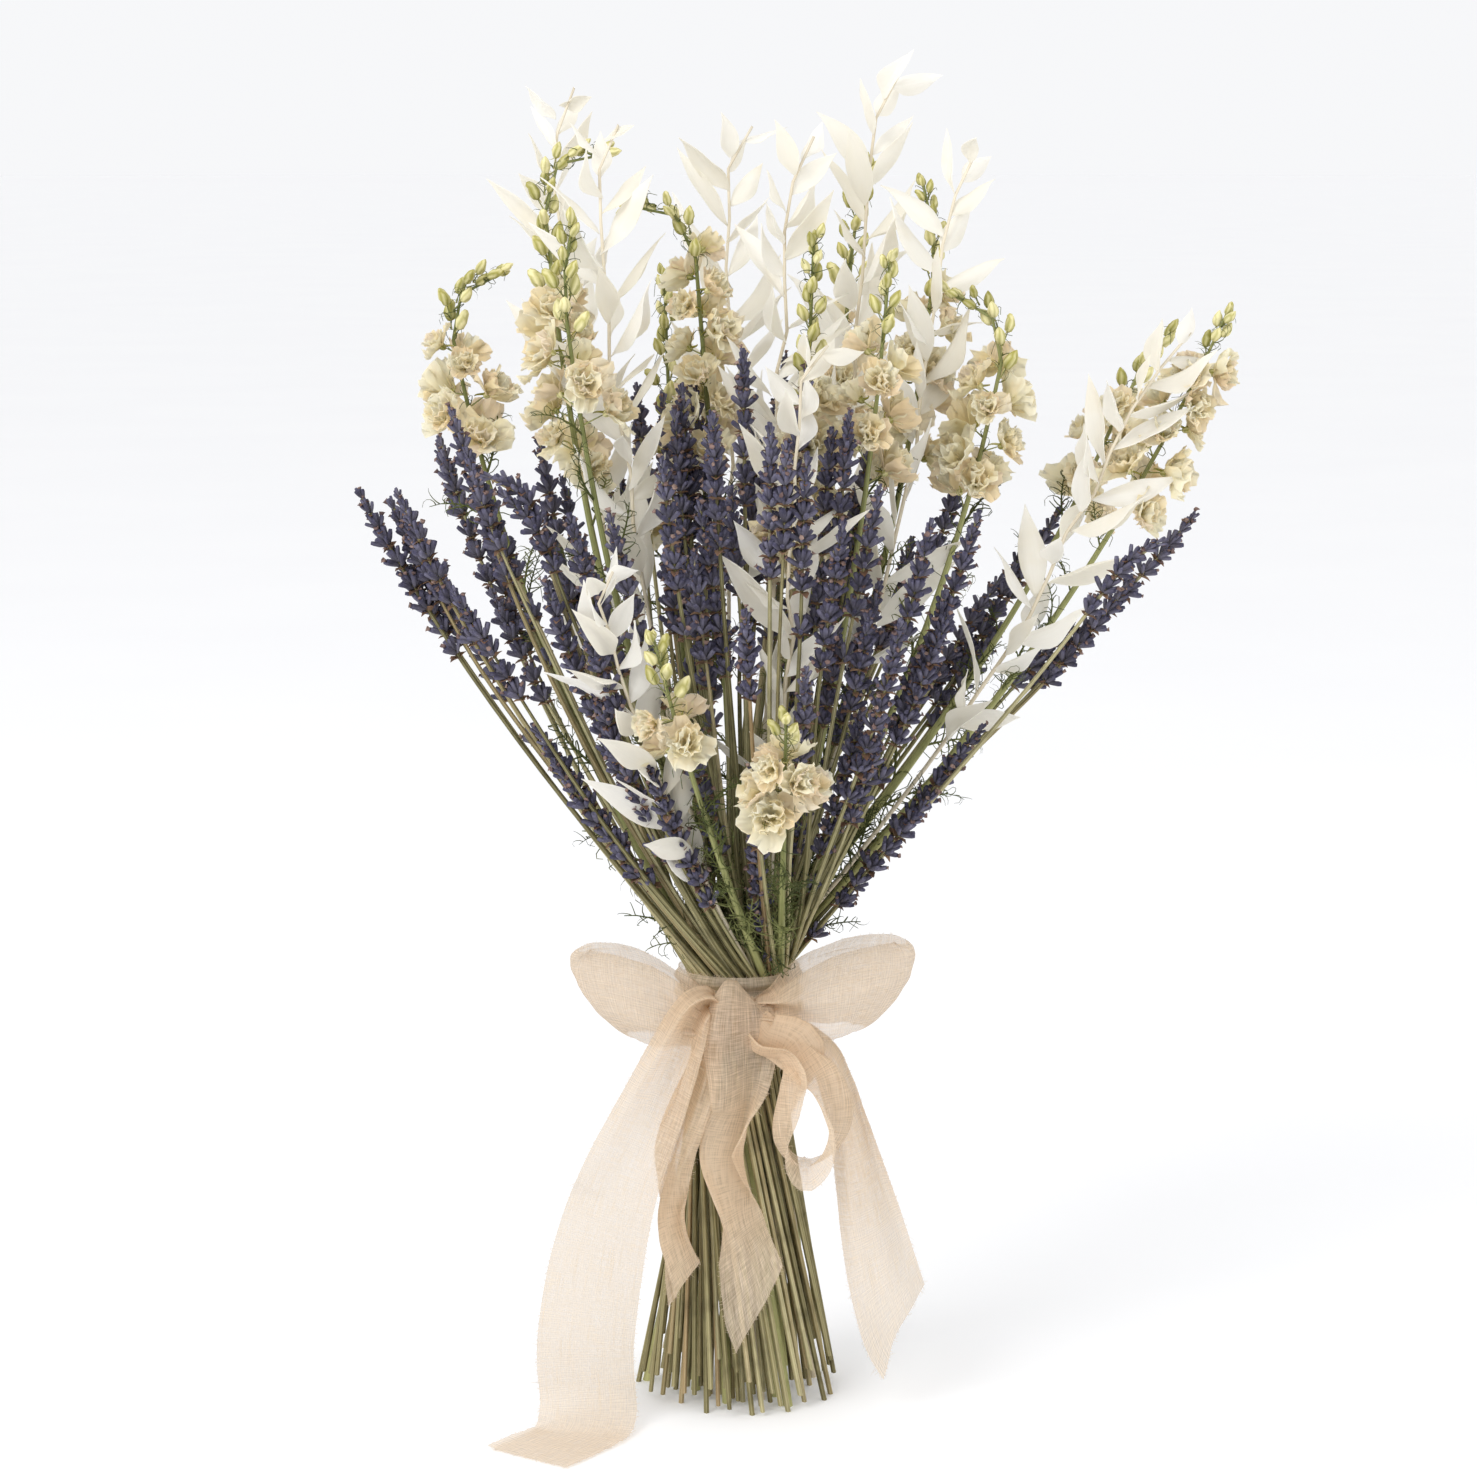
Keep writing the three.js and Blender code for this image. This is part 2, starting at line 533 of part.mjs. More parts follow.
// A bow loop stands on edge, the small loop shows its edge, and a tail faces the front until it lies down.
const upright = () => new THREE.Vector3(0, 0, 1);
const edgeOn = () => new THREE.Vector3(0, 1, 0);
const facingFront = (along, z) => {
  const lying = THREE.MathUtils.clamp(1 - z / gauze.layHeight, 0, 1);
  return along.clone().cross(new THREE.Vector3(0, lying - 1, lying));
};
const wrapFoot = neckHeight - gauze.wrapHeight * 0.6;
const overWrap = () => knotBack;
const overStems = (z) => (z > wrapFoot ? knotBack : bundleRadius(sprigs, Math.max(z, 1)) + tieGap);
const ribbons = {
  bow_loop_left: [overWrap, upright, 16, [
    [-8.5, 7.6, 1, 0.225, 0], [-22, 9, 1.02, 0.675, 0], [-44, 11, 1.05, 1.025, 0], [-59, 4, 1.05, 1.1, 0],
    [-47, -6, 1.05, 1.05, 0], [-24, -1, 1.02, 0.7, 0], [-8.5, 2.8, 1, 0.225, 0],
  ]],
  bow_loop_right: [overWrap, upright, 16, [
    [8.5, 7.6, 1.01, 0.225, 0], [24, 9, 1.04, 0.675, 0], [47, 12, 1.07, 1.025, 0], [63, 5, 1.07, 1.1, 0],
    [51, -6, 1.07, 1.05, 0], [25, -1, 1.04, 0.7, 0], [8.5, 2.8, 1.01, 0.225, 0],
  ]],
  ribbon_small_loop: [overStems, edgeOn, 16, [
    [10, 12, 0.94, 0.175, 0], [19, 14, 0.915, 0.275, 0], [17, 17, 0.81, 0.45, 0], [18, 18, 0.7, 0.55, 0],
    [27, 18, 0.64, 0.6, 0], [36, 18, 0.72, 0.55, 0], [34, 17, 0.85, 0.425, 0], [25.5, 14, 0.93, 0.25, 0],
  ]],
  ribbon_tail_left_outer: [overStems, facingFront, 22, [
    [-8.5, 11, 1.045, 0.225, 0], [-17, 14, 1.04, 0.35, 0], [-24, 15, 0.95, 0.5, 0], [-34, 16, 0.8, 0.65, 0],
    [-47, 16, 0.62, 0.775, 0], [-56, 12, 0.42, 0.9, 0], [-61, 8, 0.2, 0.95, 0], [-60, 4, 0.07, 0.95, 0],
    [-61, 13, 0, 1, 0], [-72, 30, 0, 1, 0], [-88, 52, 0, 1, 0],
  ]],
  ribbon_tail_left_inner: [overStems, facingFront, 12, [
    [-8.5, 12, 0.965, 0.2, 0], [-15, 13, 0.86, 0.35, 0], [-23, 12, 0.7, 0.4, 15], [-31, 9, 0.52, 0.275, 50],
    [-25, 8, 0.38, 0.45, 20], [-17, 7, 0.27, 0.6, 0],
  ]],
  ribbon_tail_centre: [overStems, facingFront, 14, [
    [1, 6, 0.93, 0.3, 0], [1, 9, 0.87, 0.625, 0], [0, 9, 0.77, 0.475, 20], [-4, 9, 0.66, 0.275, 50],
    [-2, 10, 0.53, 0.35, 20], [3, 12, 0.42, 0.6, 0], [9, 13, 0.28, 0.75, 0], [12, 13, 0.2, 0.675, 0],
  ]],
  ribbon_tail_right: [overStems, facingFront, 14, [
    [11, 3.5, 0.95, 0.2, 0], [22, 4, 0.945, 0.25, 0], [34, 3, 0.88, 0.3, 0], [42, 2, 0.75, 0.35, 0],
    [48, 0, 0.6, 0.475, 0], [56, -4, 0.38, 0.675, 0], [65, -4, 0.2, 0.775, 0], [74, -2, 0.12, 0.8, 0],
  ]],
};
for (const [name, [surfaceAt, wideAt, pieces, stations]] of Object.entries(ribbons)) {
  addPiece(bunch, name, ribbonGeometry(stations, surfaceAt, wideAt, pieces), gauze.colour);
}

export default bunch;
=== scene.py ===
import json
import math
import random

import bmesh
import bpy
import numpy as np
from mathutils import Matrix, Vector, noise

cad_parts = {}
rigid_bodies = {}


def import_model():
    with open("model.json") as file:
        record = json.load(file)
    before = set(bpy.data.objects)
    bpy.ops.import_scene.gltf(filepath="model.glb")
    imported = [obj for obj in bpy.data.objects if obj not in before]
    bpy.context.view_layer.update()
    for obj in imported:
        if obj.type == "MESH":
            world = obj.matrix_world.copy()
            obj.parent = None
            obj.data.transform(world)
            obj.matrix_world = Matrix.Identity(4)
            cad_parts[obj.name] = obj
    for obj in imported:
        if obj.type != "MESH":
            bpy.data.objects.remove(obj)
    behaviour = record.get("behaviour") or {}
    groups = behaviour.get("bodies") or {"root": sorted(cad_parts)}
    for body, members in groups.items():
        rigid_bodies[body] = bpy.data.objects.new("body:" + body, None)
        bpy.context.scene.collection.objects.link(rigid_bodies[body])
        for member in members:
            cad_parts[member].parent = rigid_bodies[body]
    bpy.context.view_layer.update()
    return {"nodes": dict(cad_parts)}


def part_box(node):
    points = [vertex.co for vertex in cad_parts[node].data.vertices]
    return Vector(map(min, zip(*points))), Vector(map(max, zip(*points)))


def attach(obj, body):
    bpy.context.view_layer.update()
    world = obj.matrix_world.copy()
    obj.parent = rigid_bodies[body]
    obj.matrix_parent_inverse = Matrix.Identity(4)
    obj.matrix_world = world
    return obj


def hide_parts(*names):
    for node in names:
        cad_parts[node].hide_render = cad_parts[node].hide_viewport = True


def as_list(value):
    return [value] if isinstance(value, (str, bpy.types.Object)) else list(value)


for stray in list(bpy.data.objects):
    bpy.data.objects.remove(stray)
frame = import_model()
nodes = frame["nodes"]
chance = random.Random(11)
noise.seed_set(11)
mm = 0.001
up = Vector((0, 0, 1))
weld = 1e-5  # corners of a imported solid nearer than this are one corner
print("frame loaded:", len(nodes), "nodes")

# camera and light
view = {
    "place": (0.0, -1.531, 0.5115),
    "aim": (0.0, 0.0, 0.2696),
    "lens": 94.5,
    "farthest": 200,
    "lightAim": (0, 0, 0.3),
    "backgroundTint": (0.93, 0.935, 0.95, 1),
    "background": 1.0,
    "floorRadius": 40,
    "keyPlace": (-1.3, -1.5, 1.7),
    "keySize": 1.3,
    "keyPower": 27,
    "fillPlace": (1.6, -0.9, 0.9),
    "fillSize": 1.6,
    "fillPower": 4,
}


def aimed(made, place, aim):
    made.location = place
    made.rotation_euler = (Vector(aim) - Vector(place)).to_track_quat("-Z", "Y").to_euler()
    bpy.context.scene.collection.objects.link(made)
    return made


def softLight(name, place, size, power):
    lamp = bpy.data.lights.new(name, "AREA")
    lamp.size = size
    lamp.energy = power
    aimed(bpy.data.objects.new(name, lamp), place, view["lightAim"])


lens = bpy.data.cameras.new("camera")
lens.lens = view["lens"]
lens.clip_end = view["farthest"]
bpy.context.scene.camera = aimed(bpy.data.objects.new("camera", lens), view["place"], view["aim"])
softLight("windowLight", view["keyPlace"], view["keySize"], view["keyPower"])
softLight("fillLight", view["fillPlace"], view["fillSize"], view["fillPower"])
world = bpy.data.worlds.new("studio")
world.use_nodes = True
world.node_tree.nodes["Background"].inputs["Color"].default_value = view["backgroundTint"]
world.node_tree.nodes["Background"].inputs["Strength"].default_value = view["background"]
bpy.context.scene.world = world
bpy.context.scene.view_settings.view_transform = "Standard"


# a socket that takes plain arithmetic
class Wire:
    def __init__(self, finish, socket):
        self.finish = finish
        self.socket = socket

    def maths(self, operation, first, second):
        return self.finish.maths(operation, first, second)

    def __add__(self, other):
        return self.maths("ADD", self, other)

    def __sub__(self, other):
        return self.maths("SUBTRACT", self, other)

    def __rsub__(self, other):
        return self.maths("SUBTRACT", other, self)

    def __mul__(self, other):
        return self.maths("MULTIPLY", self, other)

    __radd__ = __add__
    __rmul__ = __mul__


# one material and the nodes that make it
class Finish:
    def __init__(self, name, roughness=0.8, specular=0.3):
        self.material = bpy.data.materials.new(name)
        self.material.use_nodes = True
        self.tree = self.material.node_tree
        self.shader = self.tree.nodes["Principled BSDF"]
        self.shader.inputs["Roughness"].default_value = roughness
        self.shader.inputs["Specular IOR Level"].default_value = specular

    def node(self, kind, settings=None, inputs=None, output=0):
        made = self.tree.nodes.new(kind)
        for key, value in (settings or {}).items():
            setattr(made, key, value)
        for key, value in (inputs or {}).items():
            self.join(made.inputs[key], value)
        return Wire(self, made.outputs[output])

    def join(self, socket, value):
        if isinstance(value, Wire):
            self.tree.links.new(value.socket, socket)
        else:
            socket.default_value = value

    def colour(self, value):
        self.join(self.shader.inputs["Base Color"], value)

    def attribute(self, name):
        return self.node("ShaderNodeAttribute", {"attribute_name": name}, output=2)

    def place(self):
        return self.node("ShaderNodeTexCoord", output=3)

    def onCloth(self, stretch):
        uv = self.node("ShaderNodeTexCoord", output=2)
        return self.node("ShaderNodeMapping", inputs={"Vector": uv, "Scale": stretch})

    def maths(self, operation, first, second=0.0):
        return self.node("ShaderNodeMath", {"operation": operation}, {0: first, 1: second})

    def speckle(self, scale, detail=3, at=None):
        vector = at if at is not None else self.place()
        return self.node("ShaderNodeTexNoise", inputs={"Vector": vector, "Scale": scale, "Detail": detail})

    def mix(self, factor, first, second, blend="MIX"):
        settings = {"data_type": "RGBA", "blend_type": blend, "clamp_factor": True}
        return self.node("ShaderNodeMix", settings, {0: factor, 6: first, 7: second}, output=2)

    def clamp(self, value, low=0.0, high=1.0):
        return self.node("ShaderNodeClamp", inputs={0: value, 1: low, 2: high})

    def bump(self, height, strength, distance=0.0003):
        inputs = {"Height": height, "Strength": strength, "Distance": distance}
        self.join(self.shader.inputs["Normal"], self.node("ShaderNodeBump", inputs=inputs))


def tint(red, green, blue):
    def linear(value):
        value /= 255
        return value / 12.92 if value <= 0.04045 else ((value + 0.055) / 1.055) ** 2.4

    return (linear(red), linear(green), linear(blue), 1)


# light that comes through a thin petal, leaf or cloth
def glow(finish, colour, share):
    through = finish.node("ShaderNodeBsdfTranslucent", inputs={"Color": colour})
    surface = Wire(finish, finish.shader.outputs[0])
    both = finish.node("ShaderNodeMixShader", inputs={0: share, 1: surface, 2: through})
    finish.tree.links.new(both.socket, finish.tree.nodes["Material Output"].inputs["Surface"])
    return both


# the tints of each plant part at its foot, its tip, where it is pale and where it is dark, then its manner;
# the pale tint is also laid along the raised ridges of stems and calyces as a painted highlight, and along
# the buds as their real pale stripes
plantParts = {
    "calyxViolet": ((110, 106, 110), (73, 71, 95), (138, 135, 154), (44, 42, 57), {"ribs": 0.34}),
    "corollaFaded": ((116, 98, 104), (146, 120, 110), (178, 154, 140), (80, 66, 70), {}),
    "bractPapery": ((138, 116, 86), (132, 98, 82), (178, 146, 118), (84, 64, 54), {"through": 0.15}),
    "lavenderStemOlive": (
        (128, 119, 78), (110, 108, 68), (226, 216, 172), (46, 38, 14),
        {"roughness": 0.7, "blotches": 90, "ribs": 0.36, "other": (148, 118, 82)},
    ),
    "cutPith": ((176, 170, 132), (176, 170, 132), (206, 200, 165), (120, 112, 80), {}),
    "larkspurStemGreen": (
        (190, 188, 128), (94, 104, 52), (206, 204, 148), (90, 94, 50),
        {"roughness": 0.65, "blotches": 70, "ribs": 0.25},
    ),
    "larkspurFrond": ((104, 110, 62), (82, 92, 52), (140, 142, 90), (60, 66, 40), {}),
    "larkspurBud": (
        (132, 132, 58), (182, 174, 92), (236, 228, 176), (112, 110, 46),
        {"ribs": 0.75, "blotches": 160},
    ),
    "larkspurPetal": (
        (242, 226, 160), (255, 249, 228), (255, 254, 246), (252, 224, 172),
        {"blotches": 150, "ribs": 0.5, "through": 0.58, "other": (252, 230, 204)},
    ),
    "ruscusStemBleached": (
        (206, 192, 162), (228, 218, 196), (240, 232, 214), (176, 158, 128),
        {"roughness": 0.6, "blotches": 60},
    ),
}
growth = {
    "swing": 1.1,  # how far the copies of a part differ
    "usual": 0.66,  # the share of copies that don't take the other colour
    "blotchFrom": 0.48,
    "blotchDepth": 1.6,
    "grain": 2600,
    "grainDepth": 0.35,
}


# grow runs from the foot of a part to its tip, ridge marks the raised corners of its ribbing (painted lighter
# as a highlight on stems and calyces, as pale stripes on buds), and tone differs from copy to copy
def plantFinish(name, tints, roughness=0.85, blotches=260, ribs=0.35, through=0.0, other=None):
    foot, tip, pale, dark = (tint(*each) for each in tints)
    finish = Finish(name, roughness, 0.2)
    grow, ridge, tone = (finish.attribute(key) for key in ("grow", "ridge", "tone"))
    base = finish.mix(grow, foot, tip)
    if other:
        odd = finish.maths("FRACT", tone * 7.3)
        base = finish.mix(finish.clamp((odd - growth["usual"]) * 3), base, tint(*other))
    # the pale tint comes in where a copy's tone is high, and along the ridges as a painted highlight on stems
    # and calyces (real pale stripes on buds)
    paleToneAndRibHighlight = finish.mix(finish.clamp(tone - 0.5) * growth["swing"] + ridge * ribs, base, pale)
    blotch = finish.clamp(finish.speckle(blotches) - growth["blotchFrom"]) * growth["blotchDepth"]
    darker = finish.clamp(0.5 - tone) * growth["swing"] + blotch
    finish.colour(finish.mix(finish.clamp(darker), paleToneAndRibHighlight, dark))
    finish.bump(finish.speckle(growth["grain"], 2), growth["grainDepth"])
    if through:
        glow(finish, pale, through)
    return finish.material


plantFinishes = {name: plantFinish(name, tints, **manner) for name, (*tints, manner) in plantParts.items()}


def finishesOf(*names):
    return [plantFinishes[name] for name in names]


def leafMaterial():
    finish = Finish("ruscusLeafBleached", 0.55, 0.35)
    vein = finish.speckle(1.0, 2, finish.onCloth((34, 1.2, 1)))
    patch = finish.speckle(45)
    tone = finish.attribute("tone")
    base = finish.mix(tone, tint(244, 240, 228), tint(254, 253, 250))
    worn = finish.mix(finish.clamp(patch - 0.56) * 2.2, base, tint(236, 224, 194))
    finish.colour(finish.mix(finish.clamp(vein - 0.5) * 0.9, worn, tint(222, 215, 196)))
    grow = finish.attribute("grow")
    finish.bump(vein * finish.clamp(grow * (1 - grow) * 5), 0.4)
    glow(finish, tint(254, 252, 246), 0.5)
    return finish.material


weave = {
    "across": 2.0,  # threads to the millimetre
    "along": 0.09,  # how soon a thread changes on its way
    "slubAcross": 1.1,
    "slubAlong": 0.035,
    "cover": 0.46,  # the least that the threads hide
    "through": 0.4,
}


def gauzeMaterial():
    finish = Finish("gauzePeach", 0.9, 0.1)
    warp = finish.speckle(1.0, 4, finish.onCloth((weave["across"], weave["along"], 1)))
    weft = finish.speckle(1.0, 4, finish.onCloth((weave["along"], weave["across"], 1)))
    slub = finish.speckle(1.0, 2, finish.onCloth((weave["slubAcross"], weave["slubAlong"], 1)))
    bunched = finish.attribute("tone")
    cover = warp * 0.5 + weft * 0.5
    threads = finish.clamp((cover - 0.5) * 4.2 + 0.5)
    base = finish.mix(threads, tint(206, 187, 162), tint(232, 217, 197))
    # where the cloth is gathered its colour deepens: painted shade of the folds, together with the denser
    # colour of cloth lying in layers
    gatherShadeAndLayers = finish.mix(bunched * 0.7, base, tint(226, 199, 166))
    finish.colour(finish.mix(finish.clamp(slub - 0.64) * 3, gatherShadeAndLayers, tint(250, 242, 230)))
    finish.bump(cover, 0.7, 0.0005)
    both = glow(finish, tint(240, 222, 198), weave["through"])
    hole = finish.node("ShaderNodeBsdfTransparent")
    hidden = threads * 0.34 + bunched * 0.4 + finish.clamp(slub - 0.58) * 1.5
    opaque = finish.clamp(hidden + weave["cover"])
    seen = finish.node("ShaderNodeMixShader", inputs={0: opaque, 1: hole, 2: both})
    finish.tree.links.new(seen.socket, finish.tree.nodes["Material Output"].inputs["Surface"])
    return finish.material


def fringeMaterial():
    finish = Finish("gauzeThread", 0.9, 0.1)
    finish.colour(finish.mix(finish.speckle(300), tint(226, 204, 176), tint(246, 234, 216)))
    glow(finish, tint(244, 224, 196), 0.3)
    return finish.material


def twineMaterial():
    finish = Finish("twineFibre", 0.9, 0.15)
    strand = finish.speckle(900, 4)
    finish.colour(finish.mix(strand, tint(120, 94, 60), tint(204, 176, 132)))
    finish.bump(strand, 0.8, 0.0004)
    return finish.material


def floorMaterial():
    finish = Finish("paleFloor", 0.75, 0.2)
    finish.colour(finish.mix(finish.speckle(3), tint(246, 246, 247), tint(250, 250, 250)))
    finish.shader.inputs["Emission Color"].default_value = (1, 1, 1, 1)
    finish.shader.inputs["Emission Strength"].default_value = 0.05
    return finish.material


leafFinish, gauzeFinish, fringeFinish, twineFinish = (
    leafMaterial(), gauzeMaterial(), fringeMaterial(), twineMaterial()
)
print("materials made")

floor = bpy.data.meshes.new("floor")
bm = bmesh.new()
bmesh.ops.create_circle(bm, cap_ends=True, segments=96, radius=view["floorRadius"])
bm.to_mesh(floor)
bm.free()
floor.materials.append(floorMaterial())
floor = bpy.data.objects.new("floor", floor)
bpy.context.scene.collection.objects.link(floor)


# a smooth line through points in space, read by the length along it
class Line:
    def __init__(self, through, step=0.003):
        through = np.asarray(through, float)
        lengths = self.along(through)
        slopes = np.gradient(through, lengths, axis=0)
        at = np.linspace(0, lengths[-1], int(lengths[-1] / step) + 3)
        i = np.clip(np.searchsorted(lengths, at, side="right") - 1, 0, len(through) - 2)
        span = (lengths[i + 1] - lengths[i])[:, None]
        t = (at - lengths[i])[:, None] / span
        start, end = through[i], through[i + 1]
        startSlope, endSlope = slopes[i] * span, slopes[i + 1] * span
        self.points = (
            (2 * t**3 - 3 * t**2 + 1) * start
            + (t**3 - 2 * t**2 + t) * startSlope
            + (3 * t**2 - 2 * t**3) * end
            + (t**3 - t**2) * endSlope
        )
        self.lengths = self.along(self.points)
        self.length = self.lengths[-1]
        self.ways = np.gradient(self.points, self.lengths, axis=0)

    @staticmethod
    def along(points):
        return np.concatenate([[0], np.cumsum(np.linalg.norm(np.diff(points, axis=0), axis=1))])

    # points, ways onward, and the two ways square to them
    def frames(self, lengths):
        lengths = np.asarray(lengths, float)
        past = (lengths - np.clip(lengths, 0, self.length))[:, None]
        point = np.stack([np.interp(lengths, self.lengths, self.points[:, k]) for k in range(3)], 1)
        way = np.stack([np.interp(lengths, self.lengths, self.ways[:, k]) for k in range(3)], 1)
        way /= np.linalg.norm(way, axis=1)[:, None]
        side = np.cross((0.0, 1.0, 0.0), way)
        side /= np.linalg.norm(side, axis=1)[:, None]
        return point + way * past, way, side, np.cross(way, side)

    def at(self, length):
        return [Vector(row[0]) for row in self.frames([length])]

    def lengthAt(self, z):
        return float(np.interp(z, np.maximum.accumulate(self.points[:, 2]), self.lengths))

    # a place at a height, straight on past the ends
    def placeAt(self, z):
        heights = self.points[:, 2]
        if z > heights[-1]:
            return self.points[-1] + self.ways[-4] * (z - heights[-1]) / max(0.3, self.ways[-4][2])
        return self.frames([self.lengthAt(z)])[0][0]


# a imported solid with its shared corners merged, and the middles of its lowest and highest corners
def welded(name):
    bm = bmesh.new()
    bm.from_mesh(nodes[name].data)
    bmesh.ops.remove_doubles(bm, verts=bm.verts, dist=weld)
    bm.verts.index_update()
    lowest, highest = (pick(v.co.z for v in bm.verts) for pick in (min, max))
    ends = [[v.co[:] for v in bm.verts if abs(v.co.z - z) < 2 * weld] for z in (lowest, highest)]
    return bm, *(np.array(end).mean(axis=0) for end in ends)


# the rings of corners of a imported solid, from one of its poles to the other: the first is the corner in
# the middle of its foot, or the four-edged corner that is nearest to a place
def ringsOf(name, nearest=None):
    bm, foot, _ = welded(name)
    corners = bm.verts if nearest is None else [v for v in bm.verts if len(v.link_edges) == 4]
    near = Vector(foot if nearest is None else nearest)
    start = min(corners, key=lambda v: (v.co - near).length)
    seen, ring, rings = {start}, [start], []
    while ring:
        rings.append(np.array([v.co[:] for v in ring]))
        onward = {e.other_vert(v) for v in ring for e in v.link_edges} - seen
        seen |= onward
        ring = sorted(onward, key=lambda v: v.co[:])
    bm.free()
    return rings


def meshFrom(bm, name):
    mesh = bpy.data.meshes.new(name)
    bm.to_mesh(mesh)
    bm.free()
    return mesh


def anyTurn():
    return chance.uniform(0, 6.3)


# a small shape that gets copied, with the attributes that its material reads
def asPart(bm, name, material=0, grow=None, ridge=None):
    layers = [bm.verts.layers.float.new(key) for key in ("grow", "ridge", "tone")]
    top = max(v.co.z for v in bm.verts)
    for v in bm.verts:
        v[layers[0]] = grow(v.co) if grow else v.co.z / top
        v[layers[1]] = ridge(v) if ridge else 0
    bmesh.ops.recalc_face_normals(bm, faces=bm.faces)
    for face in bm.faces:
        face.smooth = True
        face.material_index = material
    return meshFrom(bm, name)


# which of the corners round a shape a point is at
def cornerAt(co, sides):
    return round(math.atan2(co.y, co.x) / math.tau * sides)


# a closed round shape drawn out ring by ring, from [radius, height] pairs; ribbed draws in every other corner
def drawnOut(sides, profile, ribbed=0.0):
    bm = bmesh.new()
    ring = bmesh.ops.create_circle(bm, cap_ends=True, segments=sides, radius=1)["verts"]
    edges = bm.edges[:]
    least = 0.03 * max(radius for radius, height in profile)
    for step, (radius, height) in enumerate(profile):
        if step:
            drawn = bmesh.ops.extrude_edge_only(bm, edges=edges)["geom"]
            ring = {v for v in drawn if isinstance(v, bmesh.types.BMVert)}
            edges = [e for e in drawn if isinstance(e, bmesh.types.BMEdge) and set(e.verts) <= ring]
        for v in ring:
            angle = math.atan2(v.co.y, v.co.x)
            reach = max(radius, least) * (1 - ribbed * (cornerAt(v.co, sides) % 2))
            v.co = Vector((reach * math.cos(angle), reach * math.sin(angle), height))
    bmesh.ops.edgeloop_fill(bm, edges=edges)
    return bm


# adds a copy of a part to a piece: moved by a matrix, or laid along a line
def addCopy(bm, part, matrix=None, tone=0.5, line=None, start=0.0, length=1.0, thick=1.0, level=False):
    copy = part.copy()
    if matrix is not None:
        copy.transform(matrix)
    if line is not None:
        co = np.empty(len(copy.vertices) * 3)
        copy.vertices.foreach_get("co", co)
        co = co.reshape(-1, 3)
        share = co[:, 2].copy()
        point, way, side, front = line.frames(start + share * length)
        taper = np.asarray(thick(share) if callable(thick) else thick).reshape(-1, 1)
        co = point + (side * co[:, :1] + front * co[:, 1:2]) * taper
        if level:
            foot = share == 0
            co[foot] += way[foot] * ((point[foot, 2:] - co[foot, 2:]) / way[foot, 2:])
        copy.vertices.foreach_set("co", co.ravel())
    if tone is not None:
        copy.attributes["tone"].data.foreach_set("value", np.full(len(copy.vertices), tone, dtype=np.float32))
    bm.from_mesh(copy)
    bpy.data.meshes.remove(copy)


# where a part goes: its foot at a place, pointing a way, rolled and scaled
def posed(place, way, roll=0.0, scale=1.0, long=1.0):
    turned = Vector(way).to_track_quat("Z", "Y").to_matrix().to_4x4()
    sized = Matrix.Diagonal((scale, scale, scale * long, 1))
    return Matrix.Translation(place) @ turned @ Matrix.Rotation(roll, 4, "Z") @ sized


# a way that leans out from a line by an angle, at an angle round it
def leaning(way, side, front, lean, angle):
    out = side * math.cos(angle) + front * math.sin(angle)
    return way * math.cos(lean) + out * math.sin(lean)


def finished(bm, name, finishes, replaced=()):
    mesh = meshFrom(bm, name)
    for finish in finishes:
        mesh.materials.append(finish)
    piece = bpy.data.objects.new(name, mesh)
    bpy.context.scene.collection.objects.link(piece)
    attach(piece, "root")
    if replaced:
        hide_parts(*replaced)
    return piece


crispFrom = 1.2  # the angle, in radians, between faces whose edge stays crisp


# a thin blade from a flat grid: width and height over its length, bent and ruffled, then given a thickness
def blade(name, across, down, shape, thickness, material=0):
    bm = bmesh.new()
    uv = bm.loops.layers.uv.new("cloth")
    bmesh.ops.create_grid(bm, x_segments=across, y_segments=down, size=0.5)
    for face in bm.faces:
        for loop in face.loops:
            loop[uv].uv = (loop.vert.co.x + 0.5, loop.vert.co.y + 0.5)
    places = {v: (v.co.x, v.co.y + 0.5) for v in bm.verts}
    for v, (x, y) in places.items():
        v.co = Vector(shape(x, y))
    bmesh.ops.remove_doubles(bm, verts=bm.verts, dist=thickness * 0.3)
    bmesh.ops.recalc_face_normals(bm, faces=bm.faces)
    bmesh.ops.solidify(bm, geom=bm.faces[:] + bm.edges[:] + bm.verts[:], thickness=thickness)
    for edge in bm.edges:  # the rim stays crisp under smooth shading
        edge.smooth = edge.calc_face_angle(0) < crispFrom
    return asPart(bm, name, material)


# the stems: the squared, grooved stem of lavender, a ribbed one for larkspur, a round one for ruscus
stemSteps = 26


def stemPart(name, sides, ribbed, material, pith):
    bm = drawnOut(sides, [(1, k / stemSteps) for k in range(stemSteps + 1)], ribbed)
    part = asPart(bm, name, material, lambda co: co.z, lambda v: 1 - cornerAt(v.co, sides) % 2)
    for face in part.polygons:
        if len(face.vertices) > 4 and face.center.z < 0.5:
            face.material_index = pith
            face.use_smooth = False
    return part


lavenderStem = stemPart("lavenderStem", 8, 0.3, 1, 4)
larkspurStem = stemPart("larkspurStem", 12, 0.14, 1, 4)
ruscusStem = stemPart("ruscusStem", 8, 0.0, 1, 2)


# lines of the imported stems
def stemLine(name):
    rings = ringsOf(name)
    middles = [ring.mean(axis=0) for ring in rings]
    radii = [float(np.linalg.norm(ring - ring.mean(axis=0), axis=1).mean()) for ring in rings]
    line = Line([middles[0]] + middles[2:])
    stem = radii[1]
    thick = [middle for middle, radius in zip(middles, radii) if radius > stem * 1.6]
    foot = float(np.linalg.norm(line.points - thick[0], axis=1).argmin()) if thick else 0
    line.foot = line.lengths[int(foot)]
    line.stem = stem
    return line


# how a packed ruscus branch is read
reading = {
    "rise": 5.0,  # from one level to the next
    "astray": 5.0,  # how far its stem may be from where it is expected
    "clear": 3.4,  # corners further than this from the stem are a leaf's
    "tip": 1.2,
    "shortest": 12.0,
    "stem": 1.25,
}


